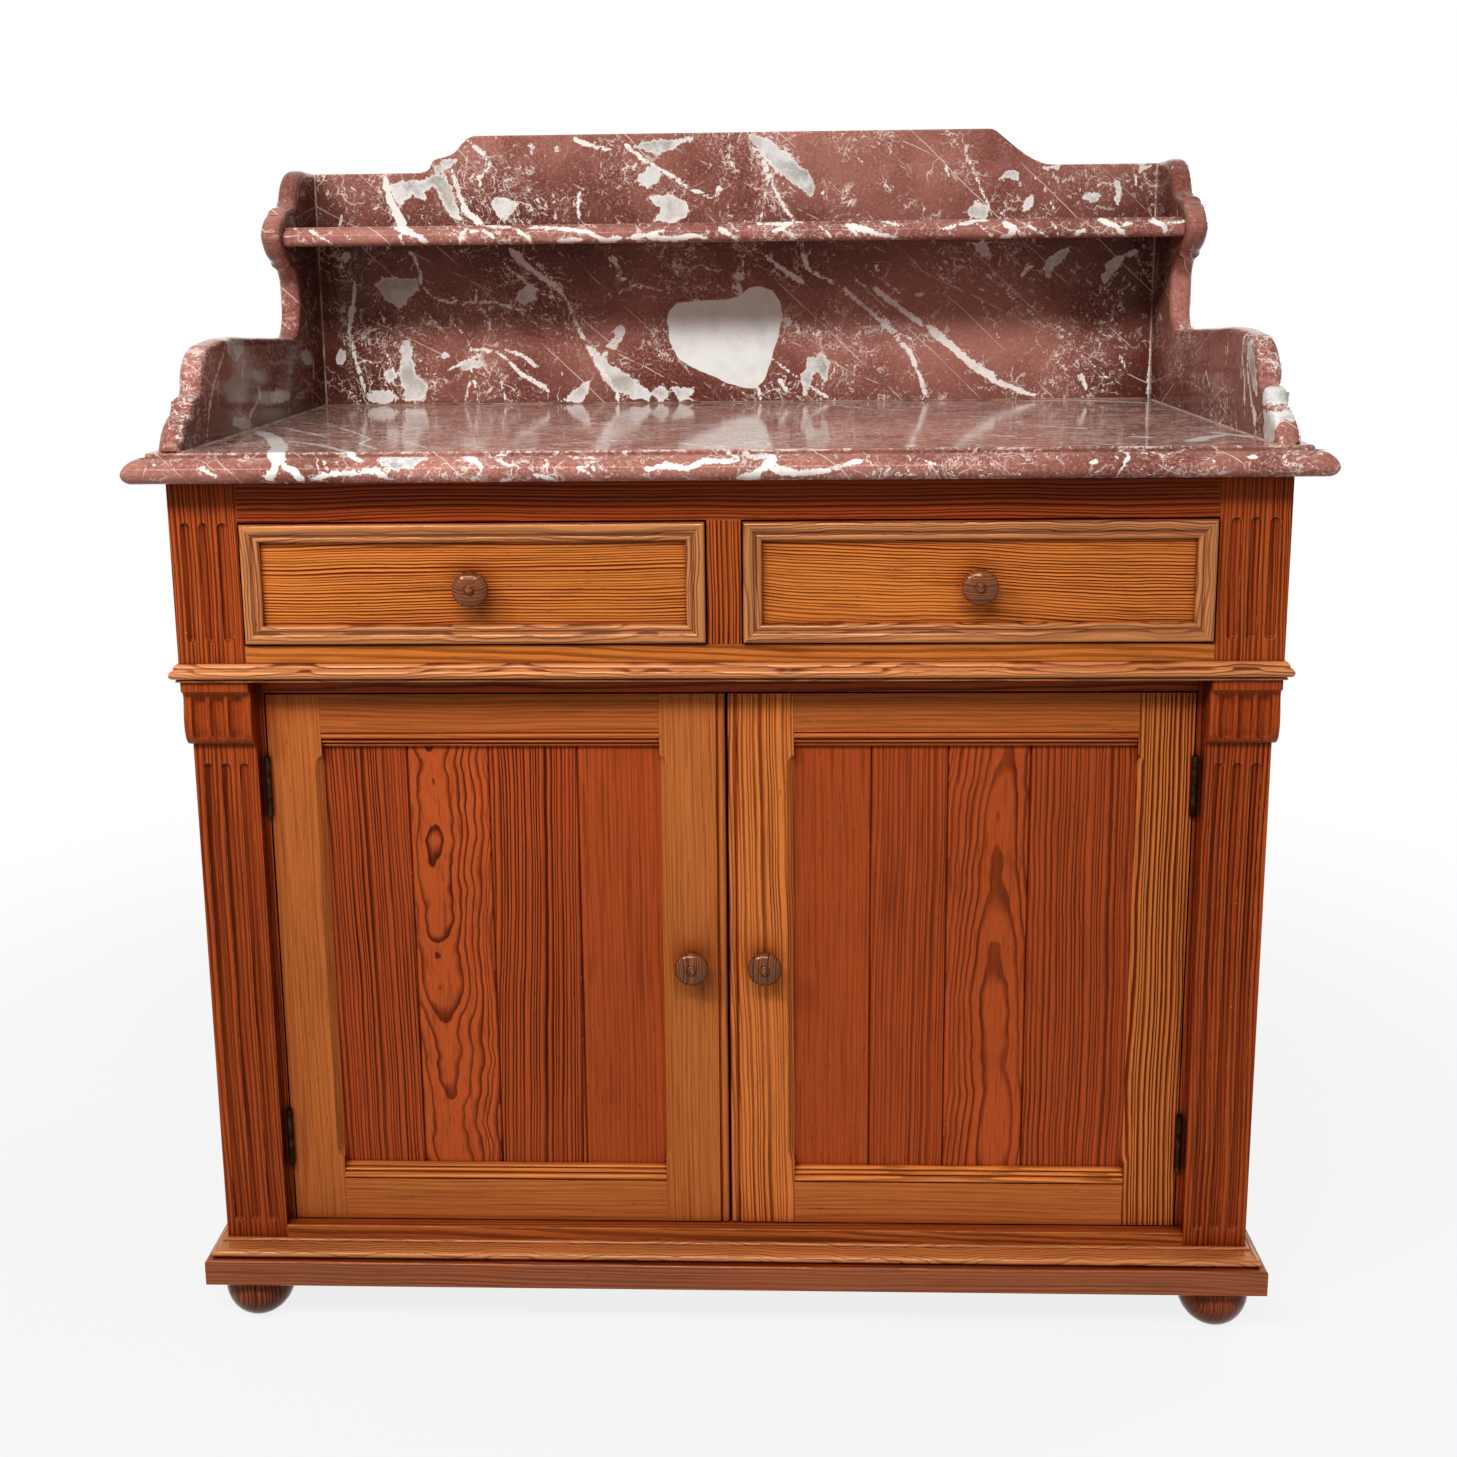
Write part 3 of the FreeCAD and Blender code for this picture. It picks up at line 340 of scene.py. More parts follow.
def marble():
    """Polished red-brown marble with white veins, grey patches and pale flecks."""
    r = material("red_marble")
    place = r.place()
    warp = r.drift(place, 11.0, 4.0, 0.6, 0.085)
    bent = r.vector("ADD", place, warp)
    crisp = r.vector("ADD", bent, r.drift(place, 95.0, 4.0, 0.65, 0.012))
    # the red ground, cloudy and speckled, with painted shade under the shelf and in the corners
    cloud = r.noise(bent, 6.5, 5.0, 0.62)
    speckle = r.noise(place, 300.0, 3.0, 0.7)
    gather = r.noise(place, 11.0, 3.0, 0.6)
    red = r.blend(r.span(cloud, 0.30, 0.68), paint(116, 62, 51), paint(172, 113, 100))
    dust = r.times(r.span(speckle, 0.48, 0.66, 0.0, 0.62), r.span(gather, 0.38, 0.62, 0.30, 1.0))
    red = r.blend(dust, red, paint(206, 162, 148))
    red = r.blend(r.span(speckle, 0.24, 0.45, 0.55, 0.0), red, paint(62, 22, 16))
    # painted shade: the red is darkened where occlusion finds the stone hidden, most under the shelf
    under = r.occlusion(STONE_SHADE_REACH)
    red = r.tinted(r.span(under, 0.30, 0.88, 0.92, 0.0), red, 0.28, 0.17, 0.14)
    # curly pale flecks, dots and shards, gathered in some regions
    curl = r.away(r.noise(crisp, 85.0, 1.0, 0.5, 1.6), 0.5)
    curl = r.times(r.span(curl, 0.008, 0.020, 1.0, 0.0), r.span(gather, 0.50, 0.62),
                   r.span(r.noise(place, 70.0), 0.46, 0.54))
    dots = r.noise(crisp, 150.0, 2.0, 0.55, 0.6)
    dots = r.times(r.span(dots, 0.625, 0.650), r.span(gather, 0.42, 0.60, 0.14, 1.0))
    shards = r.times(r.span(r.cells(crisp, 52.0, "SMOOTH_F1"), 0.15, 0.18, 1.0, 0.0),
                     r.span(r.noise(place, 16.0, 3.0, 0.6), 0.57, 0.62))
    flecks = r.most(curl, dots, shards)
    # crossing veins, thick in places and lost in others
    width = r.span(r.noise(place, 8.0), 0.57, 0.86, 0.0, 0.034)
    vein = r.span(r.maths("SUBTRACT", r.cells(crisp, 6.5), width), -0.002, 0.006, 1.0, 0.0)
    vein = r.times(vein, r.span(width, 0.002, 0.006), r.span(r.noise(place, 34.0, 3.0, 0.6), 0.42, 0.52))
    hair = r.times(r.span(r.cells(crisp, 15.0), 0.004, 0.014, 0.9, 0.0),
                   r.span(r.noise(place, 22.0, 3.0, 0.6), 0.52, 0.60))
    # a web of wisps beside the marks and inside the gatherings
    stroke = r.attribute("vein")
    web = r.cells(r.vector("ADD", crisp, r.drift(place, 38.0, 3.0, 0.6, 0.024)), 40.0)
    beside = r.most(r.span(gather, 0.56, 0.66), r.span(stroke, 0.003, 0.018, 1.0, 0.0))
    beside = r.times(beside, r.span(r.noise(place, 48.0, 3.0, 0.6), 0.47, 0.56))
    hair = r.most(hair, r.times(r.span(web, 0.008, 0.034, 0.92, 0.0), beside))
    # straight hairlines, one way through every slab
    axes = r.axes(r.vector("ADD", place, r.vector("SCALE", warp, 0.10)))
    for slope, spacing, offset in (((0.66, 0.30, 0.69), 17.0, 0.0), ((0.42, -0.35, 0.84), 9.0, 3.0)):
        level = r.plus(*(r.times(axes[axis], share) for axis, share in zip("XYZ", slope)), offset)
        line = r.add("TexVoronoi", {"W": level, "Scale": spacing},
                     voronoi_dimensions="1D", feature="DISTANCE_TO_EDGE").outputs["Distance"]
        line = r.span(line, 0.25 * MM * spacing, 0.75 * MM * spacing, 0.85, 0.0)
        hair = r.most(hair, r.times(line, r.span(r.noise(place, 13.0, 3.0, 0.6, offset), 0.46, 0.58)))
    # the bedding lies flat in the counter and shows as long streaks
    axes = r.axes(place)
    flat = r.times(r.span(axes["Z"], COUNTER_LEVEL - 3 * MM, COUNTER_LEVEL - 1 * MM),
                   r.span(axes["Z"], COUNTER_LEVEL + 0.3 * MM, COUNTER_LEVEL + 0.8 * MM, 1.0, 0.0))
    for stretch, offset in (((16.0, 85.0, 1.0), 0.0), ((30.0, 150.0, 1.0), 7.0)):
        bed = r.vector("ADD", r.vector("MULTIPLY", bent, stretch), (offset, offset, 0.0))
        bed = r.span(r.away(r.noise(bed, 1.0, 3.0, 0.6), 0.5), 0.006, 0.026, 0.95, 0.0)
        bed = r.times(bed, r.span(r.noise(place, 15.0, 3.0, 0.6, offset), 0.34, 0.50))
        hair = r.most(hair, r.times(bed, flat))
    # the marks laid on each slab, with frayed edges
    splinter = r.sway(place, 330.0, 3.0, 0.7, 0.0048)
    fray = r.sway(place, 150.0, 3.0, 0.65, 0.0070)
    stroke = r.plus(stroke, r.plus(r.sway(place, 70.0, 4.0, 0.65, 0.0060), splinter, fray))
    stroke = r.span(stroke, -0.0006, 0.0003, 1.0, 0.0)
    shore = r.plus(r.sway(place, 46.0, 5.0, 0.68, 0.020), r.plus(splinter, fray))
    inland = r.plus(r.attribute("patch"), shore)
    patch = r.span(inland, -0.0010, 0.0002, 1.0, 0.0)
    patch = r.most(patch, r.span(r.noise(crisp, 8.5, 3.0, 0.6), 0.715, 0.722))
    heart = r.plus(r.attribute("heart"), r.sway(place, 55.0, 3.0, 0.6, 0.0050))
    heart = r.span(heart, -0.0004, 0.0006, 1.0, 0.0)
    # their colours: mottled grey with a pale rim and cracks, pale heart, white strokes
    mottle = r.noise(place, 36.0, 6.0, 0.65)
    grey = r.blend(r.span(mottle, 0.34, 0.62), paint(158, 154, 148), paint(216, 217, 215))
    grey = r.blend(r.span(inland, -0.0040, -0.0012, 0.0, 0.7), grey, paint(232, 226, 220))
    crack = r.times(r.span(r.cells(crisp, 34.0), 0.004, 0.018, 0.55, 0.0),
                    r.span(mottle, 0.60, 0.44, 0.0, 1.0))
    grey = r.blend(crack, grey, paint(140, 100, 88))
    pale = r.blend(r.span(mottle, 0.30, 0.62), paint(216, 219, 215), paint(232, 235, 231))
    white = r.blend(r.span(mottle, 0.30, 0.50), paint(212, 196, 184), paint(236, 230, 224))
    lines = r.most(vein, stroke)
    colour = r.blend(r.times(flecks, 0.92), red, paint(232, 216, 206))
    colour = r.blend(patch, colour, grey)
    colour = r.blend(hair, colour, paint(216, 196, 184))
    colour = r.blend(heart, colour, pale)
    colour = r.blend(lines, colour, white)
    # painted light: the white marks, grey patches and heart are lightened where the stone is shaded, under
    # the shelf and in corners
    painted_light_on_marks = r.times(r.span(under, 0.20, 0.80, 0.75, 0.0), r.most(lines, patch, heart))
    colour = r.blend(painted_light_on_marks, colour, paint(246, 240, 232))
    # painted shade on the inner faces of the splash panels
    colour = r.tinted(r.attribute("shade"), colour, 0.42, 0.34, 0.31)
    # pale joints where the slabs meet
    ends = r.away(r.maths("ABSOLUTE", axes["X"]), SPLASH_FACE)
    foot_line = r.away(axes["Z"], COUNTER_LEVEL)
    back_line = r.away(axes["Y"], BACKBOARD_FACE)
    end, foot, back = (r.span(gap, 0.0008, 0.0020, 1.0, 0.0) for gap in (ends, foot_line, back_line))
    joint = r.most(r.times(end, foot), r.times(foot, back), r.times(end, back))
    joint = r.times(joint, r.span(r.noise(place, 30.0, 3.0, 0.6), 0.35, 0.60, 0.30, 0.9))
    colour = r.blend(joint, colour, paint(206, 176, 158))
    return r.finish({
        "Base Color": colour, "Roughness": r.span(r.noise(place, 9.0, 3.0, 0.6), 0.3, 0.7, 0.06, 0.13, False),
        "Normal": r.bump(lines, 0.10, 0.0002, r.bump(r.noise(place, 18.0), 0.05, 0.0010)),
        "IOR": 1.55, "Specular IOR Level": 0.14, "Specular Tint": (0.74, 0.52, 0.46, 1.0),
    })


def metal(name, colour, dark, roughness):
    r = material(name)
    stain = r.noise(r.place(), 90.0, 4.0, 0.6)
    scratch = r.noise(r.stretched(r.place(), 900.0, 60.0), 1.0, 2.0, 0.6)
    return r.finish({
        "Base Color": r.blend(r.span(stain, 0.35, 0.65), dark, colour), "Metallic": 1.0,
        "Roughness": r.span(stain, 0.3, 0.7, roughness + 0.1, roughness - 0.05, False),
        "Normal": r.bump(scratch, 0.15, 0.0002),
    })


# Early wood, late wood, worn arris, ring gap in millimetres, strength of the lines, and what differs else
WOODS = {
    "case": ((176, 80, 34), (68, 10, 0), (200, 118, 66), 3.7, 0.96, {"crease_shade": 0.8}),
    "frieze": ((168, 74, 32), (66, 10, 0), (186, 108, 60), 3.4, 0.96, {}),
    "moulding": ((212, 138, 78), (104, 32, 4), (246, 198, 154), 3.6, 0.92,
                 {"roughness": 0.17, "shine": 0.50, "sheen": (1.0, 0.70, 0.48), "crease_shade": 0.5}),
    "foot": ((156, 82, 48), (46, 12, 2), (176, 110, 70), 3.6, 0.94,
             {"roughness": 0.14, "shine": 0.16, "sheen": (1.0, 0.62, 0.42)}),
    "drawer": ((222, 131, 58), (84, 16, 0), (222, 152, 92), 2.7, 1.0, {"unrest": 1.7}),
    "door_frame": ((188, 106, 50), (84, 26, 0), (206, 140, 84), 3.7, 0.88, {}),
    "door_panel": ((174, 76, 34), (64, 9, 0), (190, 112, 62), 4.0, 0.97, {}),
    "knob": ((140, 78, 44), (26, 8, 2), (160, 104, 68), 2.4, 0.97,
             {"roughness": 0.12, "shine": 0.36, "sheen": (1.0, 0.66, 0.46)}),
    "inner": ((200, 148, 90), (138, 80, 36), (212, 172, 120), 4.8, 0.8, {"roughness": 0.55, "shine": 0.2}),
}
FINISHES = {"marble": marble()}
for kind, (*recipe, others) in WOODS.items():
    FINISHES[kind + "_wood"] = wood(kind + "_pine", *recipe, **others)
FINISHES["brass"] = metal("aged_brass", paint(66, 44, 24), paint(28, 16, 9), 0.46)
FINISHES["steel"] = metal("drawn_steel", paint(170, 170, 172), paint(110, 110, 112), 0.32)
HIDDEN_PINE = plain_pine("hidden_pine", paint(202, 154, 100), paint(150, 96, 52))


# Mesh tools


def in_metres(row):
    """Points from a row of millimetres."""
    return [(first * MM, second * MM) for first, second in zip(row[::2], row[1::2])]


def cad_copy(node):
    """Merged copy of a CAD node, with its flat faces made whole again."""
    shape = bmesh.new()
    shape.from_mesh(frame["nodes"][node].data)
    bmesh.ops.remove_doubles(shape, verts=shape.verts, dist=WELD)
    bmesh.ops.dissolve_limit(shape, angle_limit=FLAT_ANGLE, verts=shape.verts, edges=shape.edges)
    return shape


def sharp_edges(shape, angle=SHARP_ANGLE):
    return [e for e in shape.edges if len(e.link_faces) == 2 and e.calc_face_angle() > angle]


def soften(shape, width, segments=2, edges=None):
    """Round over the sharp edges, and mark the new faces as arris."""
    arris = shape.faces.layers.float.get("arris") or shape.faces.layers.float.new("arris")
    edges = sharp_edges(shape) if edges is None else edges
    made = bmesh.ops.bevel(
        shape, geom=edges, offset=width, offset_type="OFFSET", affect="EDGES", segments=segments,
        profile=0.5, material=-1, clamp_overlap=False, loop_slide=True)
    for face in made["faces"]:
        face[arris] = 1.0


def extruded(shape, face, offset):
    """Push a copy of a face out by an offset, and return the new vertices."""
    made = bmesh.ops.extrude_face_region(shape, geom=[face])
    tip = [item for item in made["geom"] if isinstance(item, bmesh.types.BMVert)]
    bmesh.ops.translate(shape, vec=offset, verts=tip)
    return tip


def extent(group):
    low = Vector([min(v.co[i] for v in group) for i in range(3)])
    high = Vector([max(v.co[i] for v in group) for i in range(3)])
    return low, high


def islands(shape):
    """Groups of joined vertices, from the lowest corner up."""
    left = set(shape.verts)
    groups = []
    while left:
        group = [left.pop()]
        stack = group[:]
        while stack:
            for edge in stack.pop().link_edges:
                for vert in edge.verts:
                    if vert in left:
                        left.remove(vert)
                        group.append(vert)
                        stack.append(vert)
        groups.append(group)
    return sorted(groups, key=lambda group: tuple(round(value, 4) for value in extent(group)[0]))


def lay_grain(shape, seed, along=None, cuts=None):
    """Give every board its place in a log: rings round a pith that runs along the board."""
    grain = shape.verts.layers.float_vector.new("grain")
    marks = {name: shape.verts.layers.float.new(name) for name in ("tone", "contrast", "figure", "stain")}
    dice = random.Random(seed)
    for number, group in enumerate(islands(shape)):
        low, high = extent(group)
        size = high - low
        run = AXES[along] if along else max(range(3), key=lambda i: size[i])
        cross = [i for i in range(3) if i != run]
        cross.sort(key=lambda i: -size[i])
        middle = (low + high) / 2
        cut = {
            "pith": (dice.choice((-1, 1)) * dice.uniform(0.13, 0.24), dice.uniform(0.03, 0.10)),
            "tilt": (dice.uniform(-0.010, 0.010), dice.uniform(-0.010, 0.010)),
            "tone": dice.uniform(0.35, 0.65),
            "contrast": dice.uniform(0.75, 1.0),
            "figure": 0.0,
            "stain": dice.uniform(0.0, 0.2),
        }
        start = dice.uniform(0, 40)
        if cuts:
            cut.update(cuts[number % len(cuts)])
        for vert in group:
            away = vert.co - middle
            length = away[run]
            across = away[cross[0]] - cut["pith"][0] + cut["tilt"][0] * length
            deep = away[cross[1]] - cut["pith"][1] + cut["tilt"][1] * length
            vert[grain] = Vector((across, deep, length + start))
            for name, layer in marks.items():
                vert[layer] = cut[name]


def put(shape, name, slot, node):
    """Turn a finished bmesh into a piece that rides its node's body and stands for the node."""
    if shape.faces.layers.float.get("arris") is None:
        shape.faces.layers.float.new("arris")
    mesh = bpy.data.meshes.new(name)
    shape.normal_update()
    shape.to_mesh(mesh)
    shape.free()
    piece = bpy.data.objects.new(name, mesh)
    bpy.context.scene.collection.objects.link(piece)
    mesh.materials.append(FINISHES[slot])
    mesh.shade_smooth()
    mesh.set_sharp_from_angle(angle=SHARP_ANGLE)
    even = piece.modifiers.new("even_shading", "WEIGHTED_NORMAL")
    even.keep_sharp = True
    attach(piece, frame["nodes"][node]["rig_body"])
    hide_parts(node)


def dress(node, slot, along, cuts=None, width=WOOD_ARRIS):
    """A CAD node's own form with soft arrises and a grain of its own."""
    shape = cad_copy(node)
    soften(shape, width)
    lay_grain(shape, node, along, cuts)
    put(shape, node + "_dressed", slot, node)


def add_board(shape, low, high):
    """Box from corner to corner, added to a mesh."""
    made = bmesh.ops.create_cube(shape, size=1.0)
    bmesh.ops.scale(shape, vec=Vector(high) - Vector(low), verts=made["verts"])
    bmesh.ops.translate(shape, vec=(Vector(high) + Vector(low)) / 2, verts=made["verts"])


def boards(name, slot, node, boxes, along=None, cuts=None, width=WOOD_ARRIS):
    shape = bmesh.new()
    for low, high in boxes:
        add_board(shape, low, high)
    soften(shape, width)
    lay_grain(shape, name, along, cuts)
    put(shape, name, slot, node)


def plain_board(node, slot, along, cuts=None, width=WOOD_ARRIS):
    """One board that fills a CAD node's box."""
    boards(node + "_board", slot, node, [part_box(node)], along, cuts, width)


def turned(shape, section, centre, axis):
    """Turn a half section, given as radius and height along the axis, about that axis."""
    across = Vector((axis.z, axis.x, axis.y))
    ring = [shape.verts.new(centre + across * r + axis * h) for r, h in in_metres(section)]
    edges = [shape.edges.new(pair) for pair in zip(ring, ring[1:])]
    bmesh.ops.spin(
        shape, geom=ring + edges, cent=centre, axis=axis, dvec=(0, 0, 0),
        angle=math.tau, steps=TURNING_STEPS, use_merge=True, use_duplicate=False)
    bmesh.ops.remove_doubles(shape, verts=shape.verts, dist=WELD)
    bmesh.ops.recalc_face_normals(shape, faces=shape.faces)


def strip(shape, section, start, end, across, out, mitre_start=True, mitre_end=True):
    """Length of moulding: a section of (across, out) points, run from start to end with mitres."""
    run = (end - start).normalized()
    base = [shape.verts.new(start + across * a + out * h) for a, h in section]
    tip = extruded(shape, shape.faces.new(base), end - start)
    for verts, sign, wanted in ((base, 1, mitre_start), (tip, -1, mitre_end)):
        for vert in verts if wanted else ():
            vert.co += run * (sign * (vert.co - start).dot(across))
    whole = set()
    for vert in base + tip:
        whole.update(vert.link_faces)
    bmesh.ops.recalc_face_normals(shape, faces=list(whole))


def three_runs(shape, section, low, high, level):
    """Front, right and left lengths of one section round a case."""
    front_left, front_right = Vector((low.x, low.y, level)), Vector((high.x, low.y, level))
    back_left, back_right = Vector((low.x, high.y, level)), Vector((high.x, high.y, level))
    strip(shape, section, front_left, front_right, BACK, UP)
    strip(shape, section, front_right, back_right, -RIGHT, UP, True, False)
    strip(shape, section, back_left, front_left, RIGHT, UP, False, True)


def lofted(shape, sections):
    """Closed bar through sections of the same count, in order."""
    face = shape.faces.new([shape.verts.new(point) for point in sections[0]])
    for before, after in zip(sections, sections[1:]):
        made = bmesh.ops.extrude_face_region(shape, geom=[face])
        if before is not sections[0]:
            bmesh.ops.delete(shape, geom=[face], context="FACES_ONLY")
        face = [item for item in made["geom"] if isinstance(item, bmesh.types.BMFace)][0]
        for vert in face.verts:
            number = min(range(len(before)), key=lambda i: (before[i] - vert.co).length)
            vert.co = after[number]
    bmesh.ops.recalc_face_normals(shape, faces=shape.faces)


def flip(shape):
    """Turn a right-hand piece into its left-hand twin."""
    bmesh.ops.scale(shape, vec=(-1, 1, 1), verts=shape.verts)
    bmesh.ops.reverse_faces(shape, faces=shape.faces)


# Marks on the marble, in millimetres. A stroke is its half width at the start and at the end, and then
# its points. A patch is the points of its outline.
BACKBOARD_STROKES = (
    (0.8, 1.6, -478, 1084, -471, 1062, -456, 1046),
    (2.6, 1.8, -456, 1046, -460, 1014, -466, 987, -459, 949, -449, 911),
    (4.5, 3, -460, 1019, -465, 995),
    (1.6, 2.4, -394, 1085, -383, 1077, -376, 1056, -376, 1043),
    (1.8, 1.6, -376, 1043, -361, 1026, -334, 1018, -309, 1021, -285, 1020, -263, 1012, -247, 1009),
    (0.8, 0.8, -350, 1034, -318, 1013, -290, 1010),
    (1, 0.8, -308, 1042, -309, 1023, -294, 996, -294, 986),
    (4.2, 2.4, -269, 1084, -250, 1065, -229, 1049, -208, 1033, -200, 1022),
    (1, 1.4, -283, 1074, -259, 1052, -230, 1030, -206, 1022),
    (0.8, 1.2, -258, 1081, -234, 1065, -208, 1037),
    (2.2, 1.8, -200, 1022, -190, 995, -180, 974),
    (1.6, 2.6, -180, 974, -169, 952, -159, 936, -143, 914, -140, 900),
    (1.4, 1.4, -340, 997, -324, 980, -319, 964, -292, 964),
    (1.6, 2.4, -292, 964, -276, 953, -260, 936, -236, 920, -225, 914),
    (2, 2.6, -276, 964, -254, 955, -238, 942),
    (0.9, 1.2, -356, 935, -320, 953, -295, 961),
    (1.2, 0.8, -317, 948, -321, 926, -327, 902),
    (0.8, 1, -318, 937, -311, 900),
    (0.7, 0.7, -287, 945, -278, 900),
    (0.9, 0.9, -432, 1025, -422, 998, -412, 987),
    (0.9, 1.2, -434, 981, -419, 954, -412, 932),
    (0.7, 0.7, -492, 933, -457, 904),
    (1.4, 1, -499, 1158, -501, 1118),
    (3.4, 6.5, -414, 1170, -410, 1146, -400, 1122, -393, 1111),
    (0.8, 0.8, -436, 1168, -420, 1157),
    (2.2, 4.2, -333, 1177, -326, 1150, -319, 1129, -298, 1110),
    (1.4, 1.2, -313, 1210, -295, 1196, -287, 1181, -302, 1166, -299, 1158),
    (2.6, 1, -310, 1207, -292, 1189),
    (0.9, 0.9, -296, 1166, -303, 1174, -300, 1155),
    (3.4, 1.4, -187, 1211, -171, 1203, -142, 1196),
    (2.4, 1.6, -134, 1210, -107, 1187, -70, 1165, -49, 1150, -20, 1139),
    (1.8, 2.4, -20, 1139, -17, 1152, -11, 1149),
    (0.7, 0.6, -145, 1053, -105, 1037, -46, 1020, 8, 1009),
    (0.9, 0.7, -147, 1075, -145, 1051, -110, 1034),
    (2.4, 1.6, -181, 1149, -184, 1133, -182, 1116),
    (1.2, 1.6, -249, 931, -225, 912),
    (0.9, 1.2, -372, 1024, -366, 1002, -349, 986),
    (1.2, 0.8, -479, 1022, -493, 1017),
    (1.2, 0.9, -455, 952, -430, 949),
    (1.6, 1.4, 28, 1198, 42, 1166, 39, 1141, 33, 1111),
    (1.6, 2, 36, 1190, 50, 1151, 60, 1130, 73, 1111),
    (1.4, 1.6, 253, 1212, 274, 1187, 288, 1158, 300, 1132, 307, 1115),
    (2, 2.4, 81, 1083, 89, 1056, 108, 1045, 125, 1037),
    (2.6, 2.4, 125, 1037, 151, 1016, 173, 997, 192, 978),
    (1.2, 1.4, 146, 1042, 162, 1032, 174, 1028),
    (1, 1.4, 173, 1008, 192, 983, 222, 967),
    (2.2, 2.8, 192, 978, 211, 958, 222, 932, 234, 901),
    (3.4, 3.2, 167, 1034, 197, 1010, 229, 987),
    (5.6, 3, 232, 988, 254, 969, 287, 940, 319, 918, 368, 901),
    (1.4, 1.6, 286, 948, 330, 915),
    (1.8, 3.6, 28, 1081, 55, 1059, 87, 1037),
    (0.9, 1, 14, 1078, 12, 1052, 9, 1026),
    (1.6, 2.4, 343, 1042, 348, 1053, 359, 1057),
    (1.2, 0.9, 478, 1062, 495, 1040),
    (0.8, 0.7, 293, 1020, 307, 1001, 318, 969),
    (1, 2, -16, 1007, 16, 977, 54, 944, 84, 921, 117, 900),
    (3.4, 2.6, 55, 926, 65, 909),
    (2.2, 1.6, 27, 918, 33, 901),
    (2.2, 2.6, 499, 963, 499, 930, 498, 898),
    (2, 1.6, 418, 928, 424, 909),
    (1.4, 2.4, 75, 993, 80, 978),
    (1.2, 1.8, 89, 990, 98, 976, 106, 982),
    (2.2, 2.2, 170, 1061, 174, 1051),
    (0.55, 0.5, 265, 1080, 328, 1022, 393, 973, 465, 908),
    (0.45, 0.4, 279, 1065, 360, 1006, 442, 946),
    (0.5, 0.5, 121, 1209, 172, 1160, 225, 1111),
    (1.2, 0.8, 461, 951, 472, 930),
    (1.6, 1, 471, 1169, 476, 1145),
    (1.6, 1, 251, 1174, 257, 1159),
    (1.8, 1.2, 375, 1131, 381, 1118),
    (0.8, 0.8, 173, 1045, 210, 1018),
    (1, 1, 287, 915, 309, 910),
    (1.6, 1.2, 113, 1150, 105, 1142),
    (2, 1.4, -3, 1188, 2, 1172),
    (1.6, 1.2, -15, 1107, 7, 1094),
    (0.6, 0.5, 361, 963, 405, 930),
)
HEART = (
    -79, 997, -76, 1008, -68, 1016, -52, 1019, -30, 1020, -8, 1020, 8, 1025, 20, 1034, 34, 1036, 47, 1031,
    56, 1018, 59, 1002, 54, 978, 44, 942, 36, 922, 26, 914, 12, 915, -6, 921, -29, 931, -50, 940, -67, 952,
    -77, 972,
)
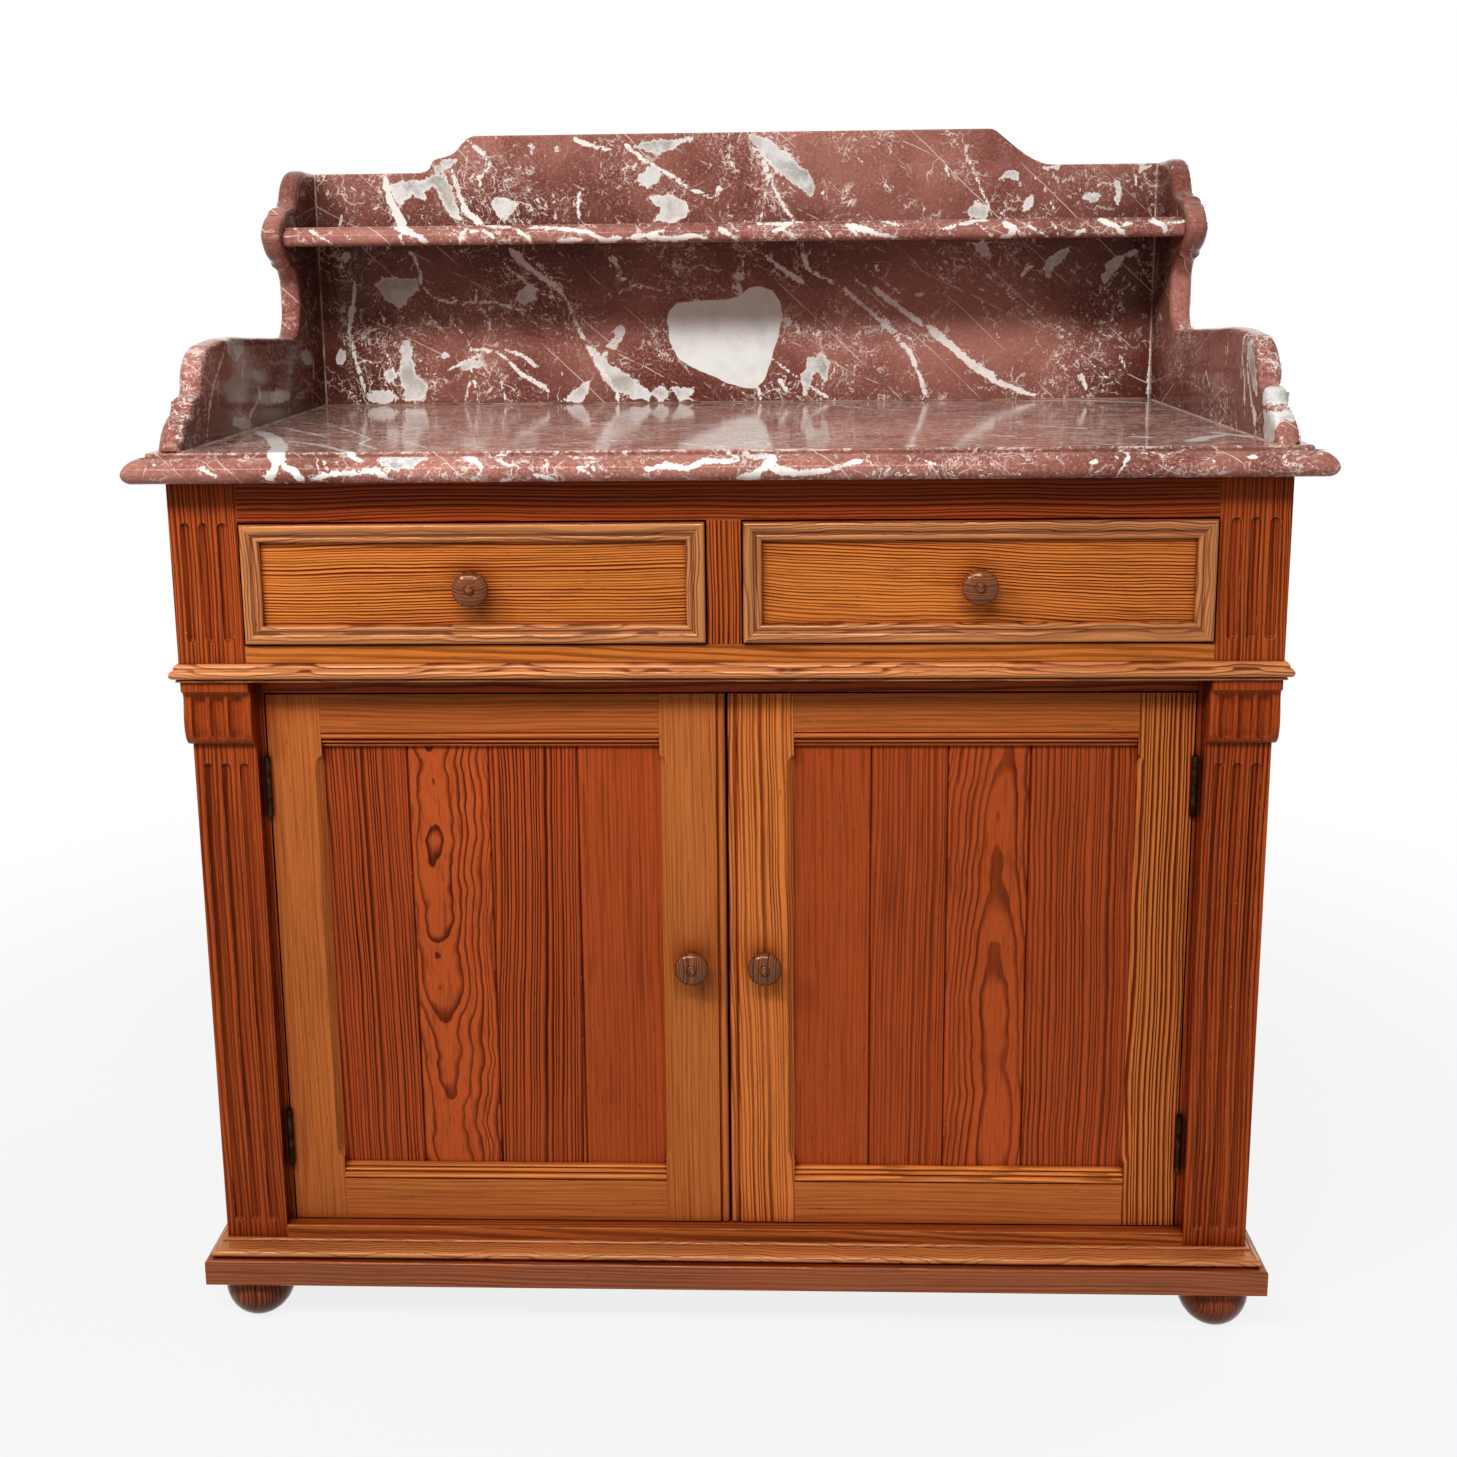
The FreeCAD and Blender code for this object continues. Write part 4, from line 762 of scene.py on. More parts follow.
BACKBOARD_PATCHES = (
    (-434, 1043, -425, 1051, -403, 1054, -382, 1050, -376, 1037, -388, 1026, -402, 1018, -420, 1022),
    (-260, 1033, -246, 1043, -234, 1037, -238, 1023, -252, 1014, -261, 1023),
    (-177, 973, -164, 958, -145, 942, -121, 928, -104, 913, -101, 900, -124, 899, -129, 907, -145, 913, -159,
     927, -167, 944),
    (-210, 900, -195, 914, -181, 925, -171, 929, -174, 917, -184, 903, -190, 898),
    (-99, 909, -95, 918, -85, 919, -79, 912, -81, 901, -92, 899),
    (-73, 916, -59, 918, -46, 917, -53, 905, -66, 897, -70, 907),
    (-404, 976, -391, 977, -390, 954, -387, 938, -373, 921, -377, 909, -383, 900, -405, 901, -401, 916, -409,
     932, -401, 954),
    (-449, 913, -432, 917, -414, 916, -413, 901, -433, 898, -449, 901),
    (-424, 938, -415, 942, -408, 931, -415, 923, -424, 927),
    (-485, 960, -478, 968, -471, 963, -474, 949, -483, 947),
    (-358, 960, -350, 963, -342, 957, -352, 951),
    (-332, 949, -320, 954, -303, 951, -297, 945, -312, 939, -326, 939),
    (-409, 1162, -393, 1164, -366, 1167, -343, 1173, -331, 1156, -330, 1135, -319, 1115, -333, 1118, -344,
     1132, -348, 1145, -356, 1156, -366, 1151, -361, 1136, -372, 1143, -383, 1150, -395, 1138, -405, 1141),
    (-357, 1180, -340, 1190, -327, 1188, -337, 1177, -352, 1171),
    (-290, 1136, -280, 1146, -267, 1141, -255, 1137, -262, 1122, -276, 1117, -286, 1128),
    (-115, 1200, -104, 1207, -70, 1210, -43, 1210, -59, 1200, -86, 1191, -99, 1192),
    (-113, 1163, -102, 1179, -85, 1176, -83, 1165, -97, 1152, -109, 1155),
    (-104, 1142, -76, 1144, -55, 1137, -49, 1123, -61, 1115, -79, 1111, -91, 1116, -86, 1129),
    (-243, 1205, -235, 1207, -231, 1199, -239, 1193),
    (-467, 1084, -459, 1078, -464, 1068, -472, 1073),
    (-211, 1201, -203, 1202, -201, 1195, -209, 1194),
    (18, 1213, 39, 1210, 66, 1189, 87, 1171, 99, 1150, 92, 1141, 71, 1156, 55, 1166, 39, 1182, 29, 1197),
    (308, 1154, 330, 1168, 341, 1166, 339, 1149, 325, 1158),
    (339, 1126, 352, 1140, 358, 1133, 356, 1122, 343, 1118),
    (272, 1118, 288, 1131, 303, 1127, 299, 1113, 281, 1112),
    (369, 1170, 389, 1174, 383, 1166),
    (411, 1135, 420, 1143, 434, 1136, 427, 1128, 415, 1130),
    (450, 1154, 457, 1154, 459, 1138, 455, 1123, 450, 1133),
    (283, 1084, 297, 1085, 309, 1070, 300, 1066, 289, 1075),
    (370, 1057, 382, 1072, 399, 1076, 393, 1062, 381, 1053, 379, 1039, 370, 1044),
    (436, 1041, 448, 1064, 464, 1071, 479, 1073, 463, 1061, 450, 1044, 443, 1033),
    (85, 905, 81, 928, 89, 950, 106, 959, 115, 944, 112, 921, 97, 933, 91, 911),
    (474, 1174, 487, 1175, 482, 1166),
    (60, 998, 68, 1000, 71, 988, 63, 984),
)
COUNTER_STROKES = (
    (7, 9, -489, -54, -450, -130, -420, -213, -405, -281),
    (3, 3, -428, -158, -386, -197, -349, -252, -319, -286, -304, -287),
    (2, 2.5, -427, 6, -379, -83, -350, -145, -349, -189, -323, -237),
    (3, 2, -478, -12, -430, -79, -398, -122),
    (1.5, 1, -97, -21, -74, -53),
    (2.5, 2, -42, -204, -10, -241, 16, -276),
    (1.2, 1, -347, -22, -308, -89),
    (1.5, 2.5, -290, 65, -235, 84),
    (1, 1.5, -353, -105, -281, -222, -230, -212),
    (1, 1, -228, -75, -173, -119, -125, -198),
    (1.5, 1, -187, -246, -140, -266),
    (5, 7, 339, 238, 404, 255, 487, 200),
    (3, 3, 308, -59, 362, -97),
    (6, 5, 385, -177, 406, -186),
    (9, 5, 430, -224, 453, -189, 478, -165),
    (4, 6, 470, -138, 497, -193),
    (2, 2, 253, -148, 280, -169),
    (2, 1.5, 115, 215, 192, 179),
    (1.5, 1.5, 131, 56, 201, 60),
    (1.5, 1.5, 202, -20, 264, -55),
    (1.5, 1.5, 248, 95, 313, 119),
    (2, 1.5, 99, -116, 135, -99),
    (2, 1.5, 353, 36, 415, 50),
    (1.5, 2.5, 326, -251, 365, -240),
    (1.5, 1.5, 57, 63, 99, 151, 119, 215),
    (1.2, 1.2, 14, -229, 51, -159, 96, -76),
)
NOSING_STROKES = (
    (0.9, 0.8, -522, 892, -515, 885),
    (2.3, 1.6, -476, 886, -458, 877),
    (6.2, 5.5, -402, 896, -404, 892, -408, 882, -417, 873),
    (3.9, 4.7, -402, 889, -388, 882, -382, 873),
    (3.1, 4.7, -374, 874, -355, 880, -329, 881, -315, 883, -300, 874),
    (3.1, 3.9, -237, 893, -227, 892, -218, 885, -221, 876, -229, 872),
    (2.3, 2.7, -205, 891, -191, 885, -193, 874, -201, 872),
    (3.1, 2.3, -171, 878, -160, 876, -149, 871),
    (1.6, 2, -141, 893, -112, 891, -129, 883, -117, 876),
    (3.9, 3.1, -71, 882, -49, 885, -31, 883, -16, 888, 16, 889),
    (4.7, 5.5, 14, 873, 29, 876, 40, 885, 48, 894),
    (5.5, 2, 43, 883, 65, 877, 86, 878, 104, 883, 133, 890),
    (1.2, 0.9, 133, 886, 137, 878, 129, 874),
    (1.2, 0.9, 260, 890, 267, 886, 269, 879, 264, 873),
    (2.3, 2.3, 329, 886, 336, 886),
    (0.9, 0.8, 437, 888, 441, 879, 440, 873),
    (0.8, 0.8, 180, 888, 194, 884),
    (1.6, 1.2, 467, 889, 481, 888),
)
NOSING_PATCHES = (
    (-314, 893, -268, 893, -282, 885, -296, 882, -311, 886),
    (14, 897, 48, 895, 41, 888, 22, 890),
)
SHELF_STROKES = (
    (0.8, 0.8, -470, 1105, -444, 1090),
    (0.8, 0.8, -431, 1101, -415, 1088),
    (4, 3.2, -376, 1109, -360, 1103, -336, 1090),
    (1, 1, -368, 1100, -364, 1088),
    (2.4, 1.6, -288, 1101, -275, 1103, -262, 1094),
    (1.6, 2, -275, 1108, -244, 1105),
    (2.4, 2.4, -238, 1103, -224, 1094, -221, 1086),
    (1.6, 3.2, -227, 1104, -207, 1105, -157, 1100, -140, 1089, -120, 1093),
    (3.2, 2.4, -191, 1089, -164, 1091),
    (2.4, 1.6, -113, 1092, -93, 1095, -72, 1100),
    (3.2, 2.4, -93, 1094, -63, 1090, -39, 1094, -26, 1091),
    (2.4, 2.4, -12, 1102, 8, 1090),
    (1.6, 1.6, 31, 1106, 61, 1105, 81, 1108),
    (2.4, 1.6, 47, 1097, 64, 1103, 61, 1110),
    (1, 1, 57, 1102, 76, 1087),
    (2.4, 1.6, 0, 1093, 10, 1088),
    (0.7, 0.7, 94, 1108, 114, 1088),
    (4, 2, 129, 1103, 144, 1100, 167, 1092, 187, 1089),
    (1.6, 1.6, 134, 1099, 144, 1089),
    (1.2, 1.2, 167, 1107, 187, 1103),
    (2, 1.2, 234, 1098, 254, 1103, 277, 1107, 287, 1106),
    (0.8, 0.8, 274, 1102, 290, 1088),
    (4, 3.2, 300, 1105, 313, 1097, 307, 1089, 297, 1086),
    (1.2, 1.2, 310, 1100, 327, 1087),
    (0.8, 0.8, 320, 1105, 350, 1088),
    (1, 1, 353, 1105, 363, 1088),
    (3.2, 1.6, 380, 1090, 390, 1095),
    (4, 2, 406, 1106, 419, 1101, 436, 1087),
    (1.2, 1.2, 421, 1097, 440, 1102),
    (4, 2, 462, 1105, 474, 1100, 480, 1088),
    (1.6, 1.6, 478, 1102, 498, 1103),
)
SPLASH_STROKES = {
    "left": (
        (1.6, 2.2, -108, 995, -123, 977, -142, 964, -160, 948, -175, 928, -186, 900),
        (1.5, 1, -57, 966, -69, 949, -76, 932),
        (3, 2.5, -12, 942, -6, 929, -35, 918, -49, 911),
        (2.5, 1, 190, 1004, 194, 983),
        (1, 3, 212, 965, 209, 935),
        (5, 4, 48, 931, 105, 921),
        (1, 1.5, 32, 988, 36, 971),
        (1, 1, -24, 980, -23, 964),
        (1, 1, 139, 963, 139, 937),
    ),
    "right": (
        (1.4, 2.5, -136, 997, -133, 971, -146, 948, -150, 924),
        (1.4, 2.4, -145, 995, -154, 958, -175, 926, -192, 901),
        (3, 4, -178, 926, -190, 914),
        (1.5, 2, 222, 1001, 208, 993),
        (2.5, 2.5, 275, 961, 259, 902),
        (0.8, 0.8, -62, 927, -62, 897),
        (2, 1.5, 1, 948, -17, 934),
        (1, 1, 205, 935, 209, 924),
        (1, 1, -81, 983, -79, 968),
    ),
}
SPLASH_PATCHES = {
    "left": (
        (-108, 995, -49, 992, -62, 977, -84, 968, -103, 981),
        (-103, 916, -47, 912, -44, 898, -106, 907),
        (34, 932, 111, 926, 99, 916, 27, 921),
    ),
    "right": (
        (-148, 985, -165, 985, -185, 955, -190, 935, -172, 945, -155, 965),
        (-205, 948, -225, 945, -228, 930, -210, 930),
        (-212, 925, -245, 925, -250, 898, -222, 898),
    ),
}

# How far from a mark its distance is still told, and the width of the mesh cells that carry it
FAR = 50 * MM
MARK_CELL = 3 * MM
COUNTER_CELLS = (4 * MM, 6 * MM)
NOSING_SHARE = 0.72
# A stroke is narrower at its tips: the share of its width there, and how fast that grows along it
STROKE_TIP, STROKE_SWELL = 0.35, 7.0
# Where the marks of one face end: under the counter's face, behind its nosing, behind the shelf's edge
COUNTER_MARK_DEPTH = 6 * MM
NOSING_BACK = -0.264
SHELF_EDGE_BACK = 0.125
# Painted shade on the inner face of each splash panel: how dark it is, and how deep into the slab
SPLASH_SHADE = {"left": 0.85, "right": 0.35}
SPLASH_SHADE_DEPTH = 2 * MM


def run_distance(spots, start, run):
    """Share along a line, and distance to it, of each spot."""
    share = np.clip((spots - start) @ run / (run @ run), 0, 1)
    return share, np.linalg.norm(spots - start - share[:, None] * run, axis=1)


def stroke_distance(spots, stroke):
    """Distance from each spot to a stroke's edge: less than zero inside it."""
    first, last, *row = stroke
    path = np.array(in_metres(row))
    best = np.full(len(spots), FAR)
    spans = len(path) - 1
    for number in range(spans):
        share, away = run_distance(spots, path[number], path[number + 1] - path[number])
        along = (number + share) / spans
        half = first + (last - first) * along
        half = half * np.clip(STROKE_TIP + STROKE_SWELL * np.minimum(along, 1.0 - along), 0.0, 1.0)
        best = np.minimum(best, away - half * MM)
    return best


def patch_distance(spots, outline):
    """Distance from each spot to a patch's outline: less than zero inside it."""
    corners = np.array(in_metres(outline))
    best = np.full(len(spots), FAR)
    inside = np.zeros(len(spots), bool)
    for start, end in zip(corners, np.roll(corners, -1, axis=0)):
        run = end - start
        best = np.minimum(best, run_distance(spots, start, run)[1])
        crosses = (start[1] > spots[:, 1]) != (end[1] > spots[:, 1])
        with np.errstate(divide="ignore", invalid="ignore"):
            cut = run[0] * (spots[:, 1] - start[1]) / run[1] + start[0]
        inside ^= crosses & (spots[:, 0] < cut)
    return np.where(inside, -best, best)


def rule_lines(shape, axis, step, faces=None):
    """Cut a mesh across at even steps, half by half, so that its marks can be stored on it."""
    faces = shape.faces[:] if faces is None else faces
    low = min(vert.co[axis] for face in faces for vert in face.verts)
    high = max(vert.co[axis] for face in faces for vert in face.verts)
    if high - low < 1.5 * step:
        return
    middle = low + (high - low) * round((high - low) / step / 2) / round((high - low) / step)
    normal = Vector((axis == 0, axis == 1, axis == 2))
    parts = list(dict.fromkeys(edge for face in faces for edge in face.edges))
    corners = list(dict.fromkeys(vert for face in faces for vert in face.verts))
    made = bmesh.ops.bisect_plane(
        shape, geom=corners + parts + faces, dist=WELD, plane_co=normal * middle, plane_no=normal,
        use_snap_center=False, clear_outer=False, clear_inner=False)
    halves = ([], [])
    for item in made["geom"]:
        if isinstance(item, bmesh.types.BMFace):
            halves[item.calc_center_median()[axis] > middle].append(item)
    for half in halves:
        if half:
            rule_lines(shape, axis, step, half)


def mark_marble(shape, marks):
    """Store the distance to the nearest white stroke, grey patch and pale heart.

    Each set of marks is (plane, strokes, patches, edge); an edge (axis, limit, side) keeps it on one
    side of a limit.
    """
    layers = {name: shape.verts.layers.float.new(name) for name in ("vein", "patch", "heart")}
    near = {name: np.full(len(shape.verts), FAR) for name in layers}
    for plane, strokes, outlines, edge in marks:
        first, second = AXES[plane[0]], AXES[plane[1]]
        spots = np.array([(v.co[first], v.co[second]) for v in shape.verts])
        beyond = np.zeros(len(spots))
        if edge:
            axis, limit, side = edge
            beyond = np.array([max(0.0, side * (v.co[AXES[axis]] - limit)) for v in shape.verts])
        for stroke in strokes:
            near["vein"] = np.minimum(near["vein"], stroke_distance(spots, stroke) + beyond)
        for outline in outlines:
            kind = "heart" if outline is HEART else "patch"
            near[kind] = np.minimum(near[kind], patch_distance(spots, outline) + beyond)
    for number, vert in enumerate(shape.verts):
        for name, layer in layers.items():
            vert[layer] = float(near[name][number])


# The backboard's crown falls to its shoulders in a different curve at each end, in millimetres
CROWN_LEFT = (
    -301, 1215, -306, 1214.7, -310.5, 1213.5, -315.3, 1210.5, -320.8, 1205.5, -325.1, 1200.3, -329.2,
    1196.5, -334.6, 1193.4, -341.4, 1191.1, -349.4, 1189.4, -353.4, 1188.2, -356, 1186.2, -358, 1182.5,
    -359.9, 1178.3, -362.5, 1176, -366.5, 1174.2, -372, 1173.3, -378, 1173,
)
CROWN_RIGHT = (
    300, 1215, 305.2, 1214.7, 310.4, 1212.4, 316.3, 1207.6, 323.6, 1201.6, 332.8, 1193.9, 340.7, 1188.1,
    347, 1183.7, 353.9, 1179.7, 361.8, 1176.1, 369.6, 1173.8, 378.7, 1173.1, 386, 1173,
)


def marble_backboard():
    low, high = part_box("marble_backboard")
    left, right = in_metres(CROWN_LEFT), in_metres(CROWN_RIGHT)
    shoulder = left[-1][1]
    outline = [(low.x, low.z), (high.x, low.z), (high.x, shoulder), *right[::-1], *left, (low.x, shoulder)]
    shape = bmesh.new()
    face = shape.faces.new([shape.verts.new((x, low.y, z)) for x, z in outline])
    extruded(shape, face, BACK * (high.y - low.y))
    bmesh.ops.recalc_face_normals(shape, faces=shape.faces)
    rims = [e for e in sharp_edges(shape) if abs(e.verts[0].co.y - e.verts[1].co.y) < WELD]
    soften(shape, MARBLE_ARRIS, 3, rims)
    rule_lines(shape, 0, MARK_CELL)
    rule_lines(shape, 2, MARK_CELL)
    mark_marble(shape, [("xz", BACKBOARD_STROKES, (HEART, *BACKBOARD_PATCHES), None)])
    put(shape, "backboard_slab", "marble", "marble_backboard")


def marble_slab():
    shape = cad_copy("marble_top")
    soften(shape, COUNTER_ARRIS)
    for axis, cell in enumerate(COUNTER_CELLS):
        rule_lines(shape, axis, cell)
    nosing = [(NOSING_SHARE * first, NOSING_SHARE * last, *row) for first, last, *row in NOSING_STROKES]
    mark_marble(shape, [
        ("xy", COUNTER_STROKES, (), ("z", COUNTER_LEVEL - COUNTER_MARK_DEPTH, -1)),
        ("xz", nosing, NOSING_PATCHES, ("y", NOSING_BACK, 1)),
    ])
    put(shape, "counter_slab", "marble", "marble_top")


def marble_shelf():
    shape = cad_copy("marble_shelf")
    soften(shape, SHELF_ARRIS)
    rule_lines(shape, 0, MARK_CELL)
    mark_marble(shape, [("xz", SHELF_STROKES, (), ("y", SHELF_EDGE_BACK, 1))])
    put(shape, "soap_shelf", "marble", "marble_shelf")


def marble_splash(side):
    node = "marble_splash_" + side
    shape = cad_copy(node)
    low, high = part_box(node)
    free = [
        edge for edge in sharp_edges(shape)
        if not all(vert.co.z < low.z + WELD for vert in edge.verts)
        and not all(vert.co.y > high.y - WELD for vert in edge.verts)
    ]
    soften(shape, SPLASH_ROUND, 5, free)
    rule_lines(shape, 1, MARK_CELL)
    rule_lines(shape, 2, MARK_CELL)
    mark_marble(shape, [("yz", SPLASH_STROKES[side], SPLASH_PATCHES[side], None)])
    # painted shade on the inner face of the panel
    shade = shape.verts.layers.float.new("shade")
    inner_face = high.x if side == "left" else low.x
    for vert in shape.verts:
        vert[shade] = SPLASH_SHADE[side] * (abs(vert.co.x - inner_face) < SPLASH_SHADE_DEPTH)
    put(shape, "splash_" + side, "marble", node)


# Turned pieces: radius, then height, in millimetres
KNOB_SECTION = (
    10.2, 0, 10.5, 1, 10.1, 2.2, 8.4, 3, 7.3, 4.6, 6.9, 7, 7.2, 9.6, 8.6, 11.8, 11.4, 13.2, 14.4, 14.6,
    16.3, 16.2, 17, 18, 16.8, 19.8, 15.6, 21.6, 13.4, 23.2, 10.6, 24.4, 7.8, 25, 6.2, 25.1, 5.6, 24.7,
    5, 24.5, 4.4, 24.8, 3.9, 25.6, 3.5, 26.6, 2.7, 27.5, 1.4, 27.95, 0, 28,
)
FOOT_SECTION = (
    0, 0, 13, 0, 15.5, 0.5, 20.5, 3, 25.5, 7.4, 29.8, 13.2, 33, 20, 34.7, 26.5, 35, 31, 34.5, 35.2,
    33.6, 38.4, 32.9, 39.6, 32.9, 40.6, 33.2, 41.6, 32.6, 44.6, 31.6, 47.4, 30.6, 50, 0, 50,
)


def knob(node, grain_axis):
    low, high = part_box(node)
    centre = Vector(((low.x + high.x) / 2, low.y + KNOB_SECTION[-1] * MM, (low.z + high.z) / 2))
    shape = bmesh.new()
    turned(shape, KNOB_SECTION, centre, -BACK)
    lay_grain(shape, node, grain_axis)
    put(shape, node + "_turning", "knob_wood", node)


def foot(node):
    low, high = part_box(node)
    shape = bmesh.new()
    turned(shape, FOOT_SECTION, Vector(((low.x + high.x) / 2, (low.y + high.y) / 2, 0)), UP)
    lay_grain(shape, node, "z")
    put(shape, node + "_bun", "foot_wood", node)


# Corbel outline from the foot up, in millimetres: how far it stands out, then height. Three flutes
# run down its belly.
CORBEL_OUTLINE = (
    0.2, 0, 2.4, 0.5, 4.8, 1.7, 7.4, 3.8, 9.6, 6.8, 11.2, 10.4, 12.3, 14.6, 12.9, 19.5, 13, 25, 12.6, 31,
    11.8, 37, 10.9, 42.5, 10.3, 46.5, 10.4, 49.5, 11.2, 52, 12.6, 53.8, 14.6, 54.8, 15.7, 55.1, 16, 55.8,
    16, 64.7, 15.6, 65.3,
)
CORBEL_ROWS = 81
CORBEL_ARRIS = 2.0
CORBEL_ARRIS_DROP = 0.9
FLUTE_PLACES = (-1, 0, 1)
FLUTE_COLUMNS = 7
FLUTE_HALF = 7.0
FLUTE_PITCH = 17.6
FLUTE_DEPTH = 5.0
FLUTE_FOOT = 6.0
FLUTE_HEAD = (44.0, 52.0)


def corbel(side):
    node = "corbel_" + side
    low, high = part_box(node)
    width = (high.x - low.x) / MM
    turns = [0.0, 0.6, 2.0, 4.0]
    columns = turns + [
        width / 2 + FLUTE_PITCH * place + FLUTE_HALF * step / FLUTE_COLUMNS
        for place in FLUTE_PLACES for step in range(-FLUTE_COLUMNS, FLUTE_COLUMNS + 1)]
    columns += [width - turn for turn in reversed(turns)]
    corners = len(CORBEL_OUTLINE) // 2
    heights = np.linspace(0, corners - 1, CORBEL_ROWS)
    depths, rises = (np.interp(heights, range(corners), CORBEL_OUTLINE[part::2]) for part in (0, 1))
    across_cells, up_cells = len(columns) - 1, len(rises) - 1
    shape = bmesh.new()
    bmesh.ops.create_grid(shape, x_segments=across_cells, y_segments=up_cells, size=1.0)
    for vert in shape.verts:
        column, row = round((vert.co.x + 1) / 2 * across_cells), round((vert.co.y + 1) / 2 * up_cells)
        vert.co = Vector((low.x + columns[column] * MM, high.y, low.z + rises[row] * MM))
    made = bmesh.ops.extrude_face_region(shape, geom=shape.faces[:])
    for vert in [item for item in made["geom"] if isinstance(item, bmesh.types.BMVert)]:
        row = min(range(len(rises)), key=lambda i: abs(low.z + rises[i] * MM - vert.co.z))
        column = min(range(len(columns)), key=lambda i: abs(low.x + columns[i] * MM - vert.co.x))
        across = columns[column] - width / 2
        aside = min(abs(across - FLUTE_PITCH * place) for place in FLUTE_PLACES)
        below = max(0.0, FLUTE_FOOT + FLUTE_HALF - rises[row])
        share = 1.0 - (aside ** 2 + below ** 2) / FLUTE_HALF ** 2
        head = (FLUTE_HEAD[1] - rises[row]) / (FLUTE_HEAD[1] - FLUTE_HEAD[0])
        cut = FLUTE_DEPTH * max(0.0, share) ** 0.5 * min(1.0, max(0.0, head))
        edge = max(0.0, 1.0 - min(columns[column], width - columns[column]) / CORBEL_ARRIS)
        vert.co.y = high.y - max(0.0, depths[row] - cut - edge ** 2 * CORBEL_ARRIS_DROP) * MM
    bmesh.ops.recalc_face_normals(shape, faces=shape.faces)
    lay_grain(shape, node, "z", [CORBEL_CUT])
    put(shape, node + "_carving", "case_wood", node)


# Mouldings. Each section starts at the outer edge: distance inward, then height, in millimetres.
WAIST_TORUS = [
    value for angle in range(255, 105, -12)
    for value in (4.6 + 4.6 * math.cos(math.radians(angle)), 7.8 + 4.5 * math.sin(math.radians(angle)))]
WAIST_SECTION = (
    5.6, 0, 5, 0.3, 4.8, 0.9, 4.8, 1.7, 5.2, 2.3, 5.9, 2.7, 5.2, 3.1, 4.4, 3.3, *WAIST_TORUS,
    3.7, 12.5, 4.1, 13.1, 3.7, 13.8, 3.9, 15, 4.8, 16.3, 6.2, 17.4, 7, 17.9, 8, 18, 8, 0,
)
LEDGE_SECTION = (4, 0, 1.6, 0.9, 0.4, 2.3, 0, 4, 0.4, 5.7, 1.6, 7.1, 4, 8, 40, 8, 40, 0)
BEAD_HEIGHT = 2.5
BEAD_REACH = 4.0
BEAD_SECTION = (0, 0, 0, 0.9, 0.5, 1.8, 1.4, 2.4, 2.4, BEAD_HEIGHT, BEAD_REACH, BEAD_HEIGHT, BEAD_REACH, 0)
PLINTH_THICKNESS = 20.0
DRAWER_SECTION = (
    0, 0, 0, 4.6, 0.5, 6.2, 1.6, 7.3, 3.2, 7.9, 5.2, 8, 7.2, 7.7, 9, 6.9, 10.2, 5.8, 10.7, 4.7, 11.3, 4.4,
    12, 4.5, 12.6, 5.2, 13.4, 5.7, 14.6, 5.9, 15.9, 5.6, 17, 4.8, 17.9, 3.6, 18.4, 2.2, 18.5, 0,
)
REED_SECTION = (
    0, 0, 0, 6.4, 0.9, 6.2, 1.2, 7.6, 2, 8.6, 3.3, 9.1, 4.7, 8.9, 5.9, 8.1, 6.7, 6.8, 6.9, 5, 7.5, 4.7,
    7.9, 5.8, 8.7, 6.6, 9.7, 6.7, 10.6, 6.1, 11.2, 5, 11.3, 3.4, 11.8, 3.1, 12.2, 4, 13, 4.6, 13.9, 4.4,
    14.8, 3.4, 15.4, 1.8, 15.5, 0,
)
REEDING = REED_SECTION[-2]


def waist_moulding():
    low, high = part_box("waist_moulding")
    shape = bmesh.new()
    three_runs(shape, in_metres(WAIST_SECTION), low, high, low.z)
    lay_grain(shape, "waist_moulding", None, MOULDING_CUTS)
    put(shape, "waist_moulding_run", "moulding_wood", "waist_moulding")


def base_moulding():
    low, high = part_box("base_moulding")
    case_low, case_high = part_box("lower_pilaster_right")
    half = case_high.x + BEAD_REACH * MM
    front = case_low.y - BEAD_REACH * MM
    shape = bmesh.new()
    three_runs(shape, in_metres(LEDGE_SECTION), low, high, low.z)
    three_runs(shape, in_metres(BEAD_SECTION), Vector((-half, front, 0)), Vector((half, high.y, 0)),
               high.z - BEAD_HEIGHT * MM)
    lay_grain(shape, "base_moulding", None, BASE_CUTS)
    put(shape, "base_moulding_run", "moulding_wood", "base_moulding")


def plinth():
    low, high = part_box("plinth_boards")
    top = (high.z - low.z) / MM
    thick = PLINTH_THICKNESS
    section = (0.7, 0, 0, 0.7, 0, top - 2.4, 0.4, top - 1.1, 1.3, top - 0.3, 2.6, top, thick, top, thick, 0)
    shape = bmesh.new()
    three_runs(shape, in_metres(section), low, high, low.z)
    thick *= MM
    add_board(shape, (low.x + thick, high.y - thick, low.z), (high.x - thick, high.y, high.z))
    lay_grain(shape, "plinth", None, PLINTH_CUTS)
    put(shape, "plinth_run", "moulding_wood", "plinth_boards")


def drawer_moulding(side):
    node = "drawer_moulding_" + side
    low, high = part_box(node)
    corners = [Vector((x, high.y, z)) for x, z in (
        (low.x, low.z), (high.x, low.z), (high.x, high.z), (low.x, high.z))]
    shape = bmesh.new()
    for start, end, inward in zip(corners, corners[1:] + corners[:1], (UP, -RIGHT, -UP, RIGHT)):
        strip(shape, in_metres(DRAWER_SECTION), start, end, inward, -BACK)
    lay_grain(shape, node, None, DRAWER_FRAME_CUTS)
    put(shape, node + "_frame", "moulding_wood", node)


def door_reeding(side):
    node = "door_reeding_" + side
    low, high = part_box(node)
    shape = bmesh.new()
    for level, inward in ((high.z, -UP), (low.z, UP)):
        strip(shape, in_metres(REED_SECTION), Vector((low.x, high.y, level)), Vector((high.x, high.y, level)),
              inward, -BACK, False, False)
    lay_grain(shape, node, "x", REED_CUTS)
    put(shape, node + "_reeds", "door_frame_wood", node)


